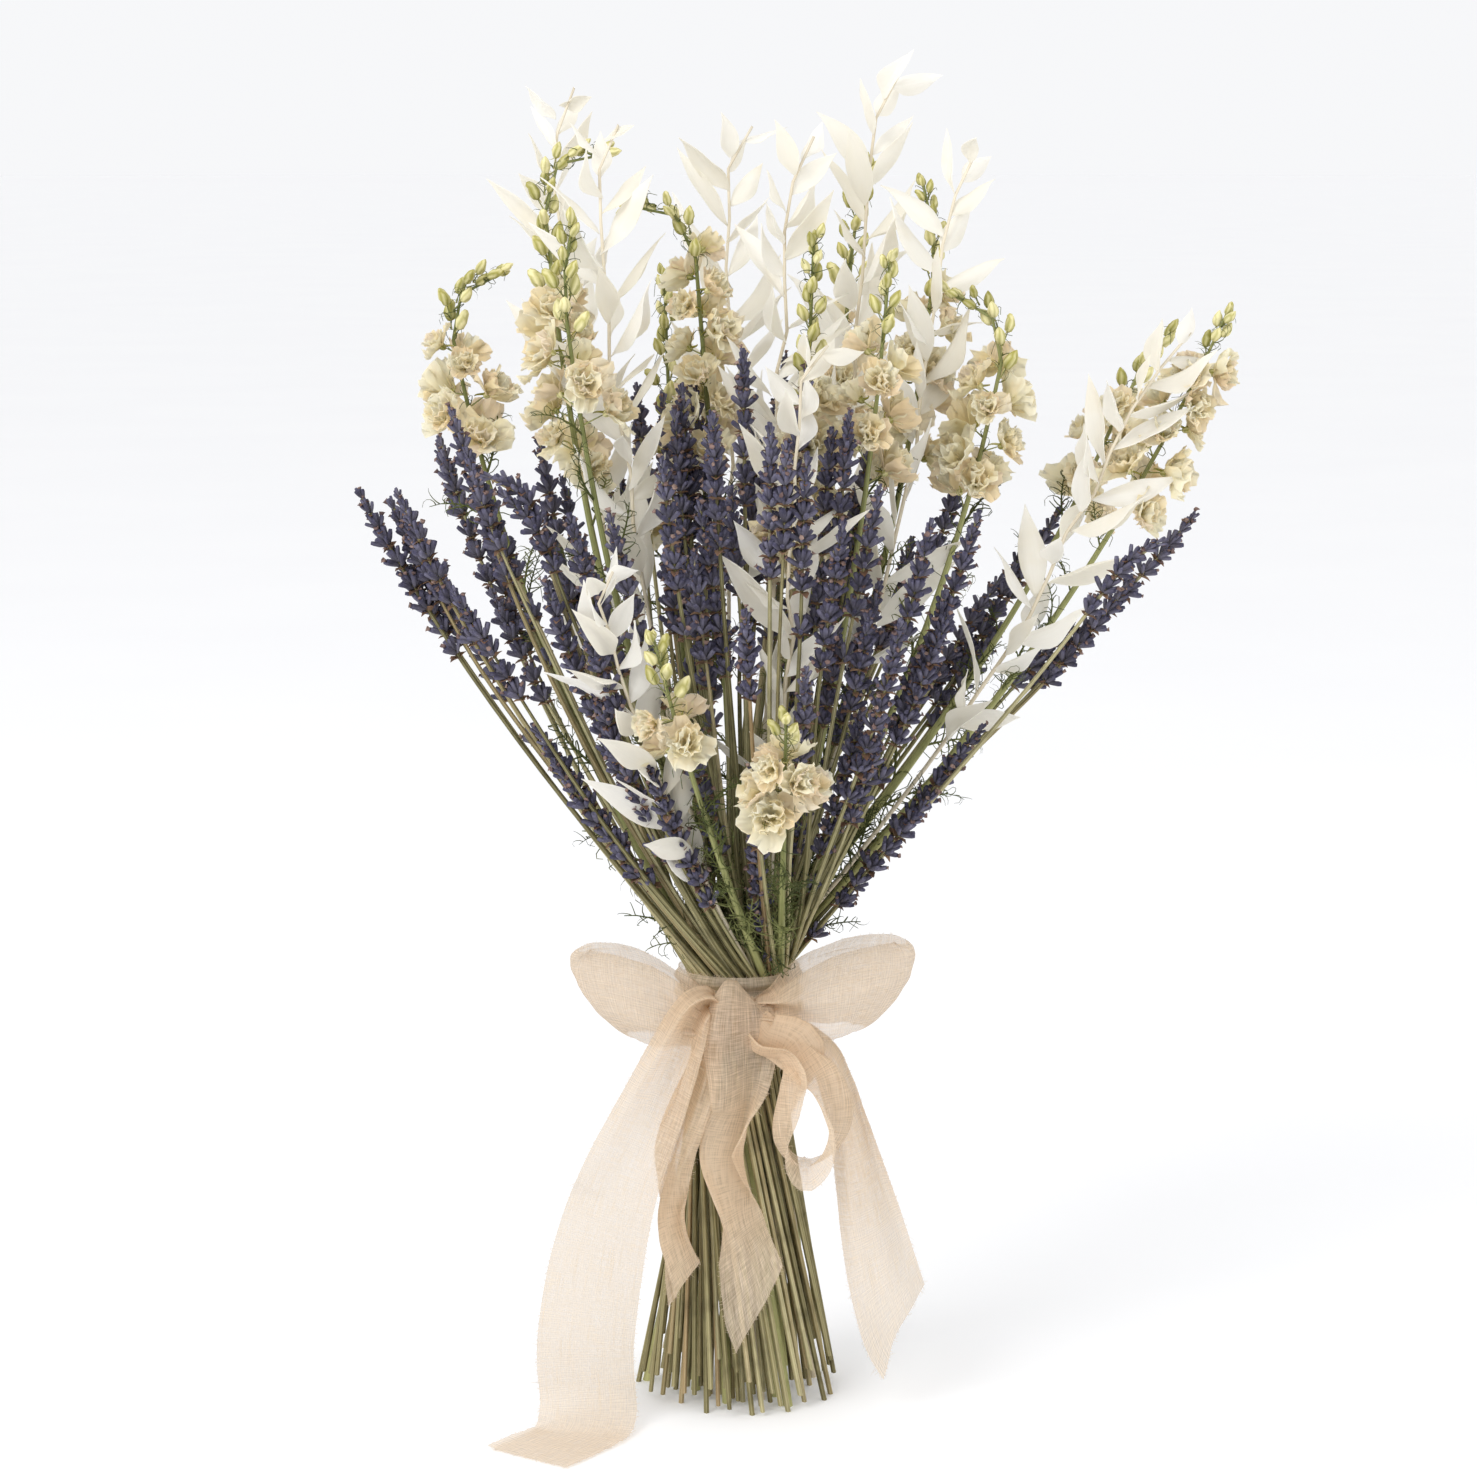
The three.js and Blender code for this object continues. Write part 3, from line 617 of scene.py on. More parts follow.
# the line of a ruscus stem, whose leaves are joined to it, found by where its edges cross each level
def ruscusLine(bm, foot, top):
    ends = np.array([[v.co[:] for v in e.verts] for e in bm.edges])
    low, high = ends[:, :, 2].min(axis=1), ends[:, :, 2].max(axis=1)
    rise, z = reading["rise"] * mm, low.min()
    middles, onward = [foot], np.zeros(3)
    while z < high.max() - 2 * rise:
        z += rise
        crossing = ends[(low < z) & (high > z)]
        share = (z - crossing[:, 0, 2]) / (crossing[:, 1, 2] - crossing[:, 0, 2])
        met = crossing[:, 0] + (crossing[:, 1] - crossing[:, 0]) * share[:, None]
        expected = middles[-1] + onward
        near = met[np.linalg.norm(met[:, :2] - expected[:2], axis=1) < reading["astray"] * mm]
        if len(near) < 3:
            break
        middle = (near.min(axis=0) + near.max(axis=0)) / 2
        if len(middles) > 3:
            middle = middle * 0.5 + expected * 0.5
            middle[2] = z
        middles.append(middle)
        back = min(4, len(middles))
        onward = (middles[-1] - middles[-back]) / (back - 1)
        onward[2] = rise
    line = Line(np.array(middles[::4] + [top]))
    line.stem = reading["stem"] * mm
    return line


def awayFrom(line, places):
    return np.linalg.norm(line.points[:, None] - places[None], axis=2).min(axis=0)


# the corners of each leaf, which hang together clear of the stem
def leafCorners(bm, line):
    away = {v for v in bm.verts if awayFrom(line, np.array([v.co]))[0] > reading["clear"] * mm}
    while away:
        leaf, edge = set(), {min(away, key=lambda v: v.index)}
        away -= edge
        while edge:
            leaf |= edge
            edge = {e.other_vert(v) for v in edge for e in v.link_edges} & away
            away -= edge
        yield np.array([v.co[:] for v in sorted(leaf, key=lambda v: v.index)])


# the foot, the axis, the way across and the length of each packed leaf
def leavesOn(bm, line):
    found = []
    for co in leafCorners(bm, line):
        gaps = awayFrom(line, co)
        atTip = gaps > gaps.max() - reading["tip"] * mm
        tip, sides = co[atTip].mean(axis=0), co[~atTip]
        if len(sides) < 3 or gaps.max() < reading["shortest"] * mm:
            continue
        axis = tip - sides.mean(axis=0)
        axis /= np.linalg.norm(axis)
        back = tip - axis * np.linspace(0, 50 * mm, 101)[:, None]
        foot = back[int(awayFrom(line, back).argmin())]
        flat = sides - sides.mean(axis=0)
        across = np.linalg.svd(flat - np.outer(flat @ axis, axis))[2][0]
        found.append((Vector(foot), Vector(axis), Vector(across), float(np.linalg.norm(tip - foot))))
    return found


lavenderNames = sorted(name for name in nodes if name.startswith("lavender_sprig"))
larkspurNames = sorted(name for name in nodes if name.startswith("larkspur_stem"))
ruscusNames = sorted(name for name in nodes if name.startswith("ruscus_branch"))
lines = {name: stemLine(name) for name in lavenderNames + larkspurNames}
ruscusLeaves = {}
for name in ruscusNames:
    bm, foot, top = welded(name)
    lines[name] = ruscusLine(bm, foot, top)
    ruscusLeaves[name] = leavesOn(bm, lines[name])
    bm.free()
print("stem lines read:", len(lines), "leaves", [len(leaves) for leaves in ruscusLeaves.values()])


# lavender: a whorl of these calyces every few millimetres up the spike
lavender = {
    "stemRadius": 1.0,
    "whorlStep": 8.3,
    "calyxLength": 6.2,
    "calyxRadius": 1.08,
    "perWhorl": 12,
    "lean": 46,
    "corollas": 0.22,  # the share of calyces that still hold a flower
    "bractWidth": 3.0,
    "bractLength": 3.7,
    "spike": (36, 66),
    "frontSpike": (44, 78),
    "loneWhorls": 0.6,  # how often a long spike has one more whorl below a gap
    "loneGap": (6, 12),
}
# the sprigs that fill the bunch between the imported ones
filling = {
    "sprigs": 104,
    "neckRadius": 17.6,
    "closeness": 0.94,  # under 1, neighbours in the tie press into each other
    "headSpread": 3.4,
    "headHeight": 0.42,
    "frontPull": 0.3,  # how readily the front cluster draws them, less being more
    "crowding": 0.002,
    "drop": 0.05,  # the furthest that one ends below its leader, at the back and in front
    "frontDrop": 0.115,
    "cutSpread": 0.013,
    "bend": 5,
}
calyxShape = [(0.3, 0), (0.7, 0.14), (0.96, 0.45), (1.04, 0.8), (0.8, 1.0), (0.3, 0.93)]


def calyxPart(number):
    long = lavender["calyxLength"] * mm
    bm = drawnOut(6, [(share * lavender["calyxRadius"] * mm, height) for share, height in calyxShape], 0.16)
    bent = chance.uniform(-0.5, 0.7) * mm
    bm.verts.index_update()
    corners = [cornerAt(v.co, 6) for v in bm.verts]
    for v in bm.verts:
        v.co.x += bent * v.co.z**2
        v.co.z *= long
    return asPart(bm, f"calyx{number}", 0, lambda co: co.z / long, lambda v: 1 - corners[v.index] % 2)


# the papery bract under each group of calyces
def bractShape(x, y):
    wide = x * lavender["bractWidth"] * mm * math.sin(math.pi * (0.12 + 0.86 * y) ** 1.2)
    return wide, -1.1 * mm * y * y + 4 * wide * wide / mm * 0.1, lavender["bractLength"] * mm * y


def corollaPart(number):
    bm = drawnOut(5, [(0.3 * mm, 0), (0.75 * mm, 1.0 * mm), (1.3 * mm, 1.7 * mm), (0.5 * mm, 1.3 * mm)], 0.3)
    for v in bm.verts:
        v.co += noise.noise_vector(v.co * 1500 + Vector((number * 7, 0, 0))) * 0.45 * mm
    return asPart(bm, f"corolla{number}", 3)


calyces = [calyxPart(k) for k in range(6)]
corollas = [corollaPart(k) for k in range(3)]
bract = blade("bract", 2, 3, bractShape, 0.12 * mm, 2)


# a whorl of calyces over three bracts, the count of whorls between it and the tip says how full it is
def lavenderWhorl(bm, place, count, lone, tone):
    point, way, side, front = place
    grown = min(1, 0.62 + 0.14 * count)
    number = round((6 + 2 * count) if count < 3 else lavender["perWhorl"] * chance.uniform(0.85, 1.12))
    number = 7 if lone else number
    turn = chance.uniform(0, math.tau)
    for k in range(number):
        angle = turn + math.tau * (k + chance.uniform(-0.25, 0.25)) / number
        inner = k % 2  # every other calyx stands higher and more upright
        lean = lavender["lean"] * (0.45 if inner else 1.0) * min(1, 0.5 + 0.17 * count)
        out = leaning(way, side, front, math.radians(lean * chance.uniform(0.8, 1.2)), angle)
        root = point + out * 0.6 * mm + way * (1.3 * inner - 0.7 + chance.uniform(-0.5, 0.5)) * mm
        scale = grown * chance.uniform(0.85, 1.12)
        pose = posed(root, out, anyTurn(), scale)
        addCopy(bm, chance.choice(calyces), pose, 0.3 + tone * 0.4 + chance.uniform(-0.32, 0.32))
        if chance.random() < lavender["corollas"]:
            mouth = root + out * 0.9 * lavender["calyxLength"] * mm * scale
            pose = posed(mouth, out, anyTurn(), chance.uniform(0.7, 1.2))
            addCopy(bm, chance.choice(corollas), pose, chance.random())
    for k in range(3):
        angle = turn + math.tau * k / 3 + chance.uniform(-0.4, 0.4)
        out = leaning(way, side, front, math.radians(chance.uniform(50, 80)), angle)
        pose = posed(point - way * 1.8 * mm, out, 0, grown * chance.uniform(0.8, 1.25))
        addCopy(bm, bract, pose, chance.random())


# one sprig: a stem, and a spike whose whorls get closer and smaller towards the tip
def lavenderSprig(bm, line, spike, stem, tone):
    taper = lambda share: stem * (1 - 0.45 * np.clip((share - 0.6) / 0.4, 0, 1))
    addCopy(bm, lavenderStem, tone=tone, line=line, length=line.length - 2 * mm, thick=taper, level=True)
    at = line.length - 3 * mm
    foot = line.length - spike
    count, lone = 0, False
    while at > foot:
        lavenderWhorl(bm, line.at(at), count, lone, tone)
        at -= lavender["whorlStep"] * (0.62 + 0.13 * min(count, 4)) * chance.uniform(0.88, 1.15) * mm
        count += 1
        if lone:
            break
        if at < foot and spike > 50 * mm and chance.random() < lavender["loneWhorls"]:
            at -= chance.uniform(*lavender["loneGap"]) * mm
            foot, lone = at - 1, True


# how the bundle opens out: a turn and a spread at each height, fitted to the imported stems
def bundleMap(z):
    near, far = [], []
    for name in lines:
        line = lines[name]
        if line.points[:, 2].max() > z:
            near.append(line.placeAt(neckHeight)[:2])
            far.append(line.placeAt(max(z, line.points[0, 2]))[:2])
    if len(near) < 12:
        return None
    return np.linalg.lstsq(np.array(near), np.array(far), rcond=None)[0].T


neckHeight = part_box("binding_twine")[0].lerp(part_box("binding_twine")[1], 0.5).z
heights = np.concatenate([np.linspace(0, neckHeight, 5)[:-1], np.linspace(neckHeight, 0.46, 16)])
maps = [bundleMap(z) for z in heights]


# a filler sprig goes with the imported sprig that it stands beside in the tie
def fillerLine(leader, offset, tip, cut, wobble):
    points = []
    for z, turned in zip(heights, maps):
        if turned is None:
            turned = spreadMap
        spread = math.sqrt(abs(np.linalg.det(turned)))
        share = np.clip((z - neckHeight) / (filling["headHeight"] - neckHeight), 0, 1)
        allowed = 1 + (filling["headSpread"] - 1) * share if z > neckHeight else spread
        spreadMap = turned
        shift = turned @ offset * min(1, allowed / spread)
        place = leader.placeAt(z)
        bend = wobble * math.sin(3 * share * math.pi) * share
        points.append((place[0] + shift[0] + bend, place[1] + shift[1] - bend * 0.6, z))
    whole = Line(points)
    return Line(whole.frames(np.linspace(whole.lengthAt(cut), whole.lengthAt(tip), 16))[0])


placed = [(lines[name].placeAt(neckHeight)[:2], lines[name].stem) for name in lines]
leaders = {name: lines[name].placeAt(neckHeight)[:2] for name in lavenderNames}
fillers = {name: [] for name in lavenderNames}
pull = {}
for name in lavenderNames:  # the sprigs of the front cluster draw more fillers to them
    tip = lines[name].points[-1]
    pull[name] = filling["frontPull"] if tip[1] < -0.05 and abs(tip[0]) < 0.09 else 1.0
stem = lavender["stemRadius"] * mm
count, tries, mostTries = 0, 0, 40000
while count < filling["sprigs"] and tries < mostTries:
    tries += 1
    reach = filling["neckRadius"] * mm * math.sqrt(chance.random())
    angle = chance.uniform(0, math.tau)
    spot = np.array([reach * math.cos(angle), reach * math.sin(angle)])
    if any(np.hypot(*(spot - other)) < (radius + stem) * filling["closeness"] for other, radius in placed):
        continue
    leader = min(leaders, key=lambda name: (
        pull[name] * np.hypot(*(leaders[name] - spot)) + filling["crowding"] * len(fillers[name])
    ))
    placed.append((spot, stem))
    fillers[leader].append(spot - leaders[leader])
    count += 1
print("filler sprigs:", count, "after", tries, "tries")

lavenderFinishes = finishesOf("calyxViolet", "lavenderStemOlive", "bractPapery", "corollaFaded", "cutPith")
for name in lavenderNames:
    bm = bmesh.new()
    line = lines[name]
    lavenderSprig(bm, line, line.length - line.foot, line.stem, chance.uniform(0.15, 0.85))
    tip = line.placeAt(line.points[:, 2].max())
    inFront = tip[1] < -0.04
    for offset in fillers[name]:
        top = line.points[:, 2].max() - chance.uniform(0.004, filling["frontDrop" if inFront else "drop"])
        cut = abs(chance.gauss(0, filling["cutSpread"]))
        sprig = fillerLine(line, offset, top, cut, chance.uniform(-1, 1) * filling["bend"] * mm)
        spike = chance.uniform(*lavender["frontSpike" if inFront else "spike"]) * mm
        stem = chance.uniform(0.86, 1.02) * lavender["stemRadius"] * mm
        lavenderSprig(bm, sprig, spike, stem, chance.uniform(0.15, 0.85))
    finished(bm, name.replace("sprig", "bundle"), lavenderFinishes, [name])
print("lavender made")


# larkspur: green buds at the top of a spike, ruffled cream flowers lower down
larkspur = {
    "flowerWidth": 24.0,
    "petals": 12,
    "budLength": 9.5,
    "budWidth": 5.8,
    "flowerStep": 6.2,
    "budStep": 4.6,
    "openShare": (0.34, 0.78),
    "pedicel": 8.5,
    "fronds": 16,
}


def petalShape(number):
    shift = Vector((number * 3.1, 0, 0))

    def shape(x, y):
        fan = 0.28 + 0.9 * math.sin(math.pi * (0.08 + 0.6 * y))
        pleat = math.sin(19 * x + 2 * number + 2 * y) * (0.25 + 0.6 * y) * 0.8
        ruffle = noise.noise_vector(Vector((x * 4.5, y * 2.6, 0)) + shift) * y
        place = Vector((8.6 * x * fan, 1.8 * y + 2.4 * x * x * y + pleat, 9.6 * y * (1 - 0.7 * x * x)))
        return (place + Vector((ruffle.x * 1.8, ruffle.y * 3.8, ruffle.z * 2.6))) * mm

    return shape


petals = [blade(f"petal{k}", 10, 4, petalShape(k), 0.14 * mm) for k in range(5)]


# a whole ruffled flower: petals round an axis, opening wider towards the outside
def flowerPart(number):
    bm = bmesh.new()
    for k in range(larkspur["petals"]):
        layer = k / larkspur["petals"]
        lean = math.radians(14 + 66 * layer**0.8 + chance.uniform(-12, 12))
        way = leaning(up, Vector((1, 0, 0)), Vector((0, 1, 0)), lean, k * 2.4 + chance.uniform(-0.3, 0.3))
        pose = posed(way * 0.8 * mm, way, 0, chance.uniform(0.78, 1.12) * (0.78 + 0.3 * layer))
        # petals cup towards the middle of the flower
        inward = pose.to_3x3() @ Vector((0, 1, 0))
        if inward.dot(Vector((way.x, way.y, 0))) > 0:
            pose = pose @ Matrix.Rotation(math.pi, 4, "Z")
        addCopy(bm, petals[(k + number) % len(petals)], pose, chance.random())
    return meshFrom(bm, f"flower{number}")


def budPart(number, opened=0.0):
    shape = [(0.2, 0), (0.7, 0.1), (0.97, 0.28), (1.0, 0.45), (0.8, 0.68)]
    shape += [(0.5 + opened, 0.85), (0.1 + opened, 1.0)]
    wide, long = larkspur["budWidth"] / 2 * mm, larkspur["budLength"] * mm
    bm = drawnOut(10, [(radius * wide, height) for radius, height in shape], 0.22)
    lean = chance.uniform(0.6, 1.8) * mm
    for v in bm.verts:
        v.co.x += lean * v.co.z**2
        v.co.z *= long
        turned = Matrix.Rotation(0.6 * v.co.z / long, 3, "Z")
        v.co = turned @ v.co
    return asPart(bm, f"bud{number}", 2, lambda co: co.z / long, lambda v: (number + cornerAt(v.co, 10)) % 2)


# a fine curling thread: the bracts and spurs of the flowers and the segments of the fronds
def threadPart(name, steps, reach, curl, thick, material):
    bm = drawnOut(3, [(thick * (1 - 0.6 * k / steps), k / steps) for k in range(steps + 1)])
    for v in bm.verts:
        share = v.co.z
        angle = curl * share**1.3
        rise = math.cos(angle * 0.8) * share * reach
        v.co = Vector((v.co.x + math.sin(angle) * share * reach * 0.6, v.co.y, rise))
    return asPart(bm, name, material, lambda co: min(1, co.length / reach))


# a feathery leaf: a rib with finer threads down both sides
def frondPart(number):
    bm = bmesh.new()
    rib = threadPart("rib", 6, 26 * mm, 0.7, 0.55 * mm, 3)
    addCopy(bm, rib, Matrix.Identity(4))
    for k in range(14):
        share = 0.15 + 0.058 * k
        bow = share**1.3
        foot = Vector((math.sin(0.7 * bow) * share * 15.6 * mm, 0, math.cos(0.56 * bow) * share * 26 * mm))
        side = (-1) ** k  # threads go off to either side by turns
        way = Vector((chance.uniform(-0.4, 0.7), side * chance.uniform(0.6, 1.1), chance.uniform(0.5, 1.1)))
        pose = posed(foot, way, anyTurn(), 1.15 - 0.6 * share)
        addCopy(bm, chance.choice(hairs), pose)
    return meshFrom(bm, f"frond{number}")


hairs = [threadPart(f"hair{k}", 5, 12 * mm, 1.2 + 0.5 * k, 0.36 * mm, 3) for k in range(4)]
spur = threadPart("spur", 5, 8 * mm, 1.1, 0.75 * mm, 2)
flowers = [flowerPart(k) for k in range(5)]
buds = [budPart(k, 0.18 * (k == 2)) for k in range(4)]
fronds = [frondPart(k) for k in range(4)]
larkspurFinishes = finishesOf(
    "larkspurPetal", "larkspurStemGreen", "larkspurBud", "larkspurFrond", "cutPith"
)


def larkspurSprig(bm, line, openShare):
    tone = chance.uniform(0.3, 0.7)
    taper = lambda share: line.stem * (1 - 0.72 * np.clip((share - 0.45) / 0.55, 0, 1))
    addCopy(bm, larkspurStem, tone=tone, line=line, length=line.length, thick=taper, level=True)
    spike = line.length - line.foot
    at, turn = line.foot + 2 * mm, anyTurn()
    while at < line.length - 1 * mm:
        share = (at - line.foot) / spike
        point, way, side, front = line.at(at)
        turn += 2.4 + chance.uniform(-0.35, 0.35)
        stalk = larkspur["pedicel"] * (1.15 - 0.8 * share) * chance.uniform(0.8, 1.2) * mm
        isOpen = share < openShare * chance.uniform(0.85, 1.1)
        lean = math.radians((62 if isOpen else 46 - 22 * share) * chance.uniform(0.8, 1.2))
        out = leaning(way, side, front, lean, turn)
        onward = (out + up * (0.15 if isOpen else 0.3)).normalized()
        pose = posed(point, out, 0, 1, stalk / (8 * mm))
        addCopy(bm, stalkPart, pose, tone)
        end = point + out * stalk
        if isOpen:
            size = larkspur["flowerWidth"] / 20 * chance.uniform(0.72, 1.08) * (1.05 - 0.3 * share)
            addCopy(bm, chance.choice(flowers), posed(end, onward, anyTurn(), size), None)
            behind = posed(end - onward * 2 * mm, onward, turn, 0.55)
            addCopy(bm, chance.choice(buds), behind, chance.random())
            addCopy(bm, spur, posed(end, -onward + up * 0.7, turn, 0.9), chance.random())
            at += larkspur["flowerStep"] * (1.1 - 0.4 * share) * chance.uniform(0.8, 1.2) * mm
        else:
            size = (1.3 - 0.7 * share) * chance.uniform(0.85, 1.12)
            addCopy(bm, chance.choice(buds), posed(end, onward, turn, size), chance.uniform(0.2, 1))
            under = posed(end + onward * 1.5 * mm, -onward + up * 0.5, turn, 0.7 * size)
            addCopy(bm, spur, under, chance.random())
            at += larkspur["budStep"] * (1.15 - 0.45 * share) * chance.uniform(0.85, 1.15) * mm
        for k in range(2):
            lean = math.radians(chance.uniform(30, 80))
            aside = leaning(way, side, front, lean, turn + chance.uniform(-0.8, 0.8))
            addCopy(bm, chance.choice(hairs), posed(point, aside, anyTurn(), chance.uniform(0.5, 0.9)), tone)
    tip = line.at(line.length - 1 * mm)
    addCopy(bm, buds[0], posed(tip[0], tip[1], 0, 0.5), tone)
    low = line.lengthAt(neckHeight + 0.018)
    for k in range(larkspur["fronds"]):
        at = low + (line.foot - low) * ((k + chance.random()) / larkspur["fronds"]) ** 1.5
        if at > line.foot:
            continue
        point, way, side, front = line.at(at)
        aside = leaning(way, side, front, math.radians(chance.uniform(18, 48)), anyTurn())
        scale = chance.uniform(0.8, 1.35)
        addCopy(bm, chance.choice(fronds), posed(point, aside, anyTurn(), scale), chance.random())


stalkPart = threadPart("stalk", 3, 8 * mm, 0.0, 0.5 * mm, 1)
for name in larkspurNames:
    bm = bmesh.new()
    larkspurSprig(bm, lines[name], chance.uniform(*larkspur["openShare"]))
    finished(bm, name.replace("stem", "sprig"), larkspurFinishes, [name])
print("larkspur made")


# bleached ruscus: pointed, cupped leaves up a pale woody stem
ruscus = {"width": 10.5, "fullLength": 37.0, "length": 35.0, "extraStep": 7.0, "leafGap": 4.0}


# across and depth are shares of a leaf's width, and height is a share of its length
def leafShape(cup, bend, twist, shift):
    def shape(x, y):
        wide = x * math.sin(math.pi * min(1, y**0.84)) ** 1.2
        wave = 0.5 * noise.noise(Vector((x * 2, y * 3, shift))) * abs(wide)
        lift = -cup * wide * wide + bend * y * y + wave
        turned = Matrix.Rotation(twist * (y - 0.3), 2) @ Vector((wide, lift))
        return turned.x, turned.y, y

    return shape


cups, bends = (0.9, 1.7, 0.5, 2.4, 1.2, -0.7, 2.0, 0.8), (0.4, -0.7, 0.8, 0.1, -0.3, 0.6, 0.9, -0.9)
twists = (0.2, -0.3, 0.7, 0.0, -0.8, 0.4, 0.1, 1.0)
leaves = [
    blade(f"leaf{k}", 6, 12, leafShape(cups[k], bends[k], twists[k], k * 5.0), 0.024) for k in range(8)
]
ruscusFinishes = [leafFinish] + finishesOf("ruscusStemBleached", "cutPith")


# a shorter leaf is narrower too
def addLeaf(bm, foot, axis, across, length):
    width = ruscus["width"] * mm * (0.5 + 0.5 * length / (ruscus["fullLength"] * mm))
    axis = axis.normalized()
    across = (across - axis * across.dot(axis)).normalized()
    pose = Matrix((across * width, axis.cross(across) * width, axis * length)).transposed().to_4x4()
    pose.translation = foot
    addCopy(bm, chance.choice(leaves), pose, chance.random())


for name in ruscusNames:
    bm = bmesh.new()
    line = lines[name]
    taper = lambda share: (1.25 - 0.7 * share) * mm
    shorter = lambda at: min(1, 0.5 + (line.length - at) / (80 * mm))
    tone = chance.uniform(0.3, 0.7)
    addCopy(bm, ruscusStem, tone=tone, line=line, length=line.length, thick=taper, level=True)
    feet = []
    for foot, axis, across, length in ruscusLeaves[name]:
        at = float(line.lengths[np.linalg.norm(line.points - np.array(foot), axis=1).argmin()])
        feet.append(at)
        grown = max(length, 20 * mm) * chance.uniform(0.95, 1.08) * shorter(at)
        addLeaf(bm, foot, axis, across, grown)
    top, bottom = line.length - 4 * mm, min(feet) - 30 * mm
    at, count = bottom + 6 * mm, 0
    while at < top:
        if min(abs(at - foot) for foot in feet) > ruscus["leafGap"] * mm:
            point, way, side, front = line.at(at)
            count += 1
            angle = math.pi * count + chance.uniform(-0.9, 0.9) + 0.6
            out = leaning(way, side, front, math.radians(chance.uniform(30, 52)), angle)
            across = way.cross(out).normalized()
            across = (Matrix.Rotation(math.radians(chance.uniform(-70, 70)), 3, out) @ across)
            grown = ruscus["length"] * chance.uniform(0.62, 1.08) * mm * shorter(at)
            addLeaf(bm, point, out, across, grown)
        at += ruscus["extraStep"] * chance.uniform(0.8, 1.2) * mm
    finished(bm, name.replace("branch", "sprig"), ruscusFinishes, [name])
print("ruscus made")


# gauze ribbon, one length of cloth 40 mm wide, pleated where it is narrow
gauze = {
    "width": 40.0,
    "columns": 40,
    "rowLength": 1.6,
    "crumple": 0.55,
    "fringeStep": 0.9,
    "fringeLength": 1.5,
    "threadRadius": 0.07,
}


# the middle, the width and its way at each ring of a packed stretch of ribbon
def stripRings(name, startPlace):
    rings = ringsOf(name, startPlace)[1:-1]
    middles = np.array([ring.mean(axis=0) for ring in rings])
    wides, widths = [], []
    for ring, middle in zip(rings, middles):
        way = np.linalg.svd(ring - middle)[2][0]
        if wides and way @ wides[-1] < 0:
            way = -way
        wides.append(way)
        widths.append(2 * np.abs((ring - middle) @ way).mean())
    return middles, np.array(wides), np.array(widths)


# how deep the pleats of each row have to be for the whole width of the cloth to fit
def pleatDepth(fold, across, widths, flat):
    low, high = np.zeros(len(widths)), np.full(len(widths), 0.03)
    for _ in range(24):
        depth = (low + high) / 2
        run = np.hypot(np.diff(across) * widths[:, None], np.diff(fold, axis=1) * depth[:, None]).sum(axis=1)
        high = np.where(run > flat, depth, high)
        low = np.where(run > flat, low, depth)
    return depth


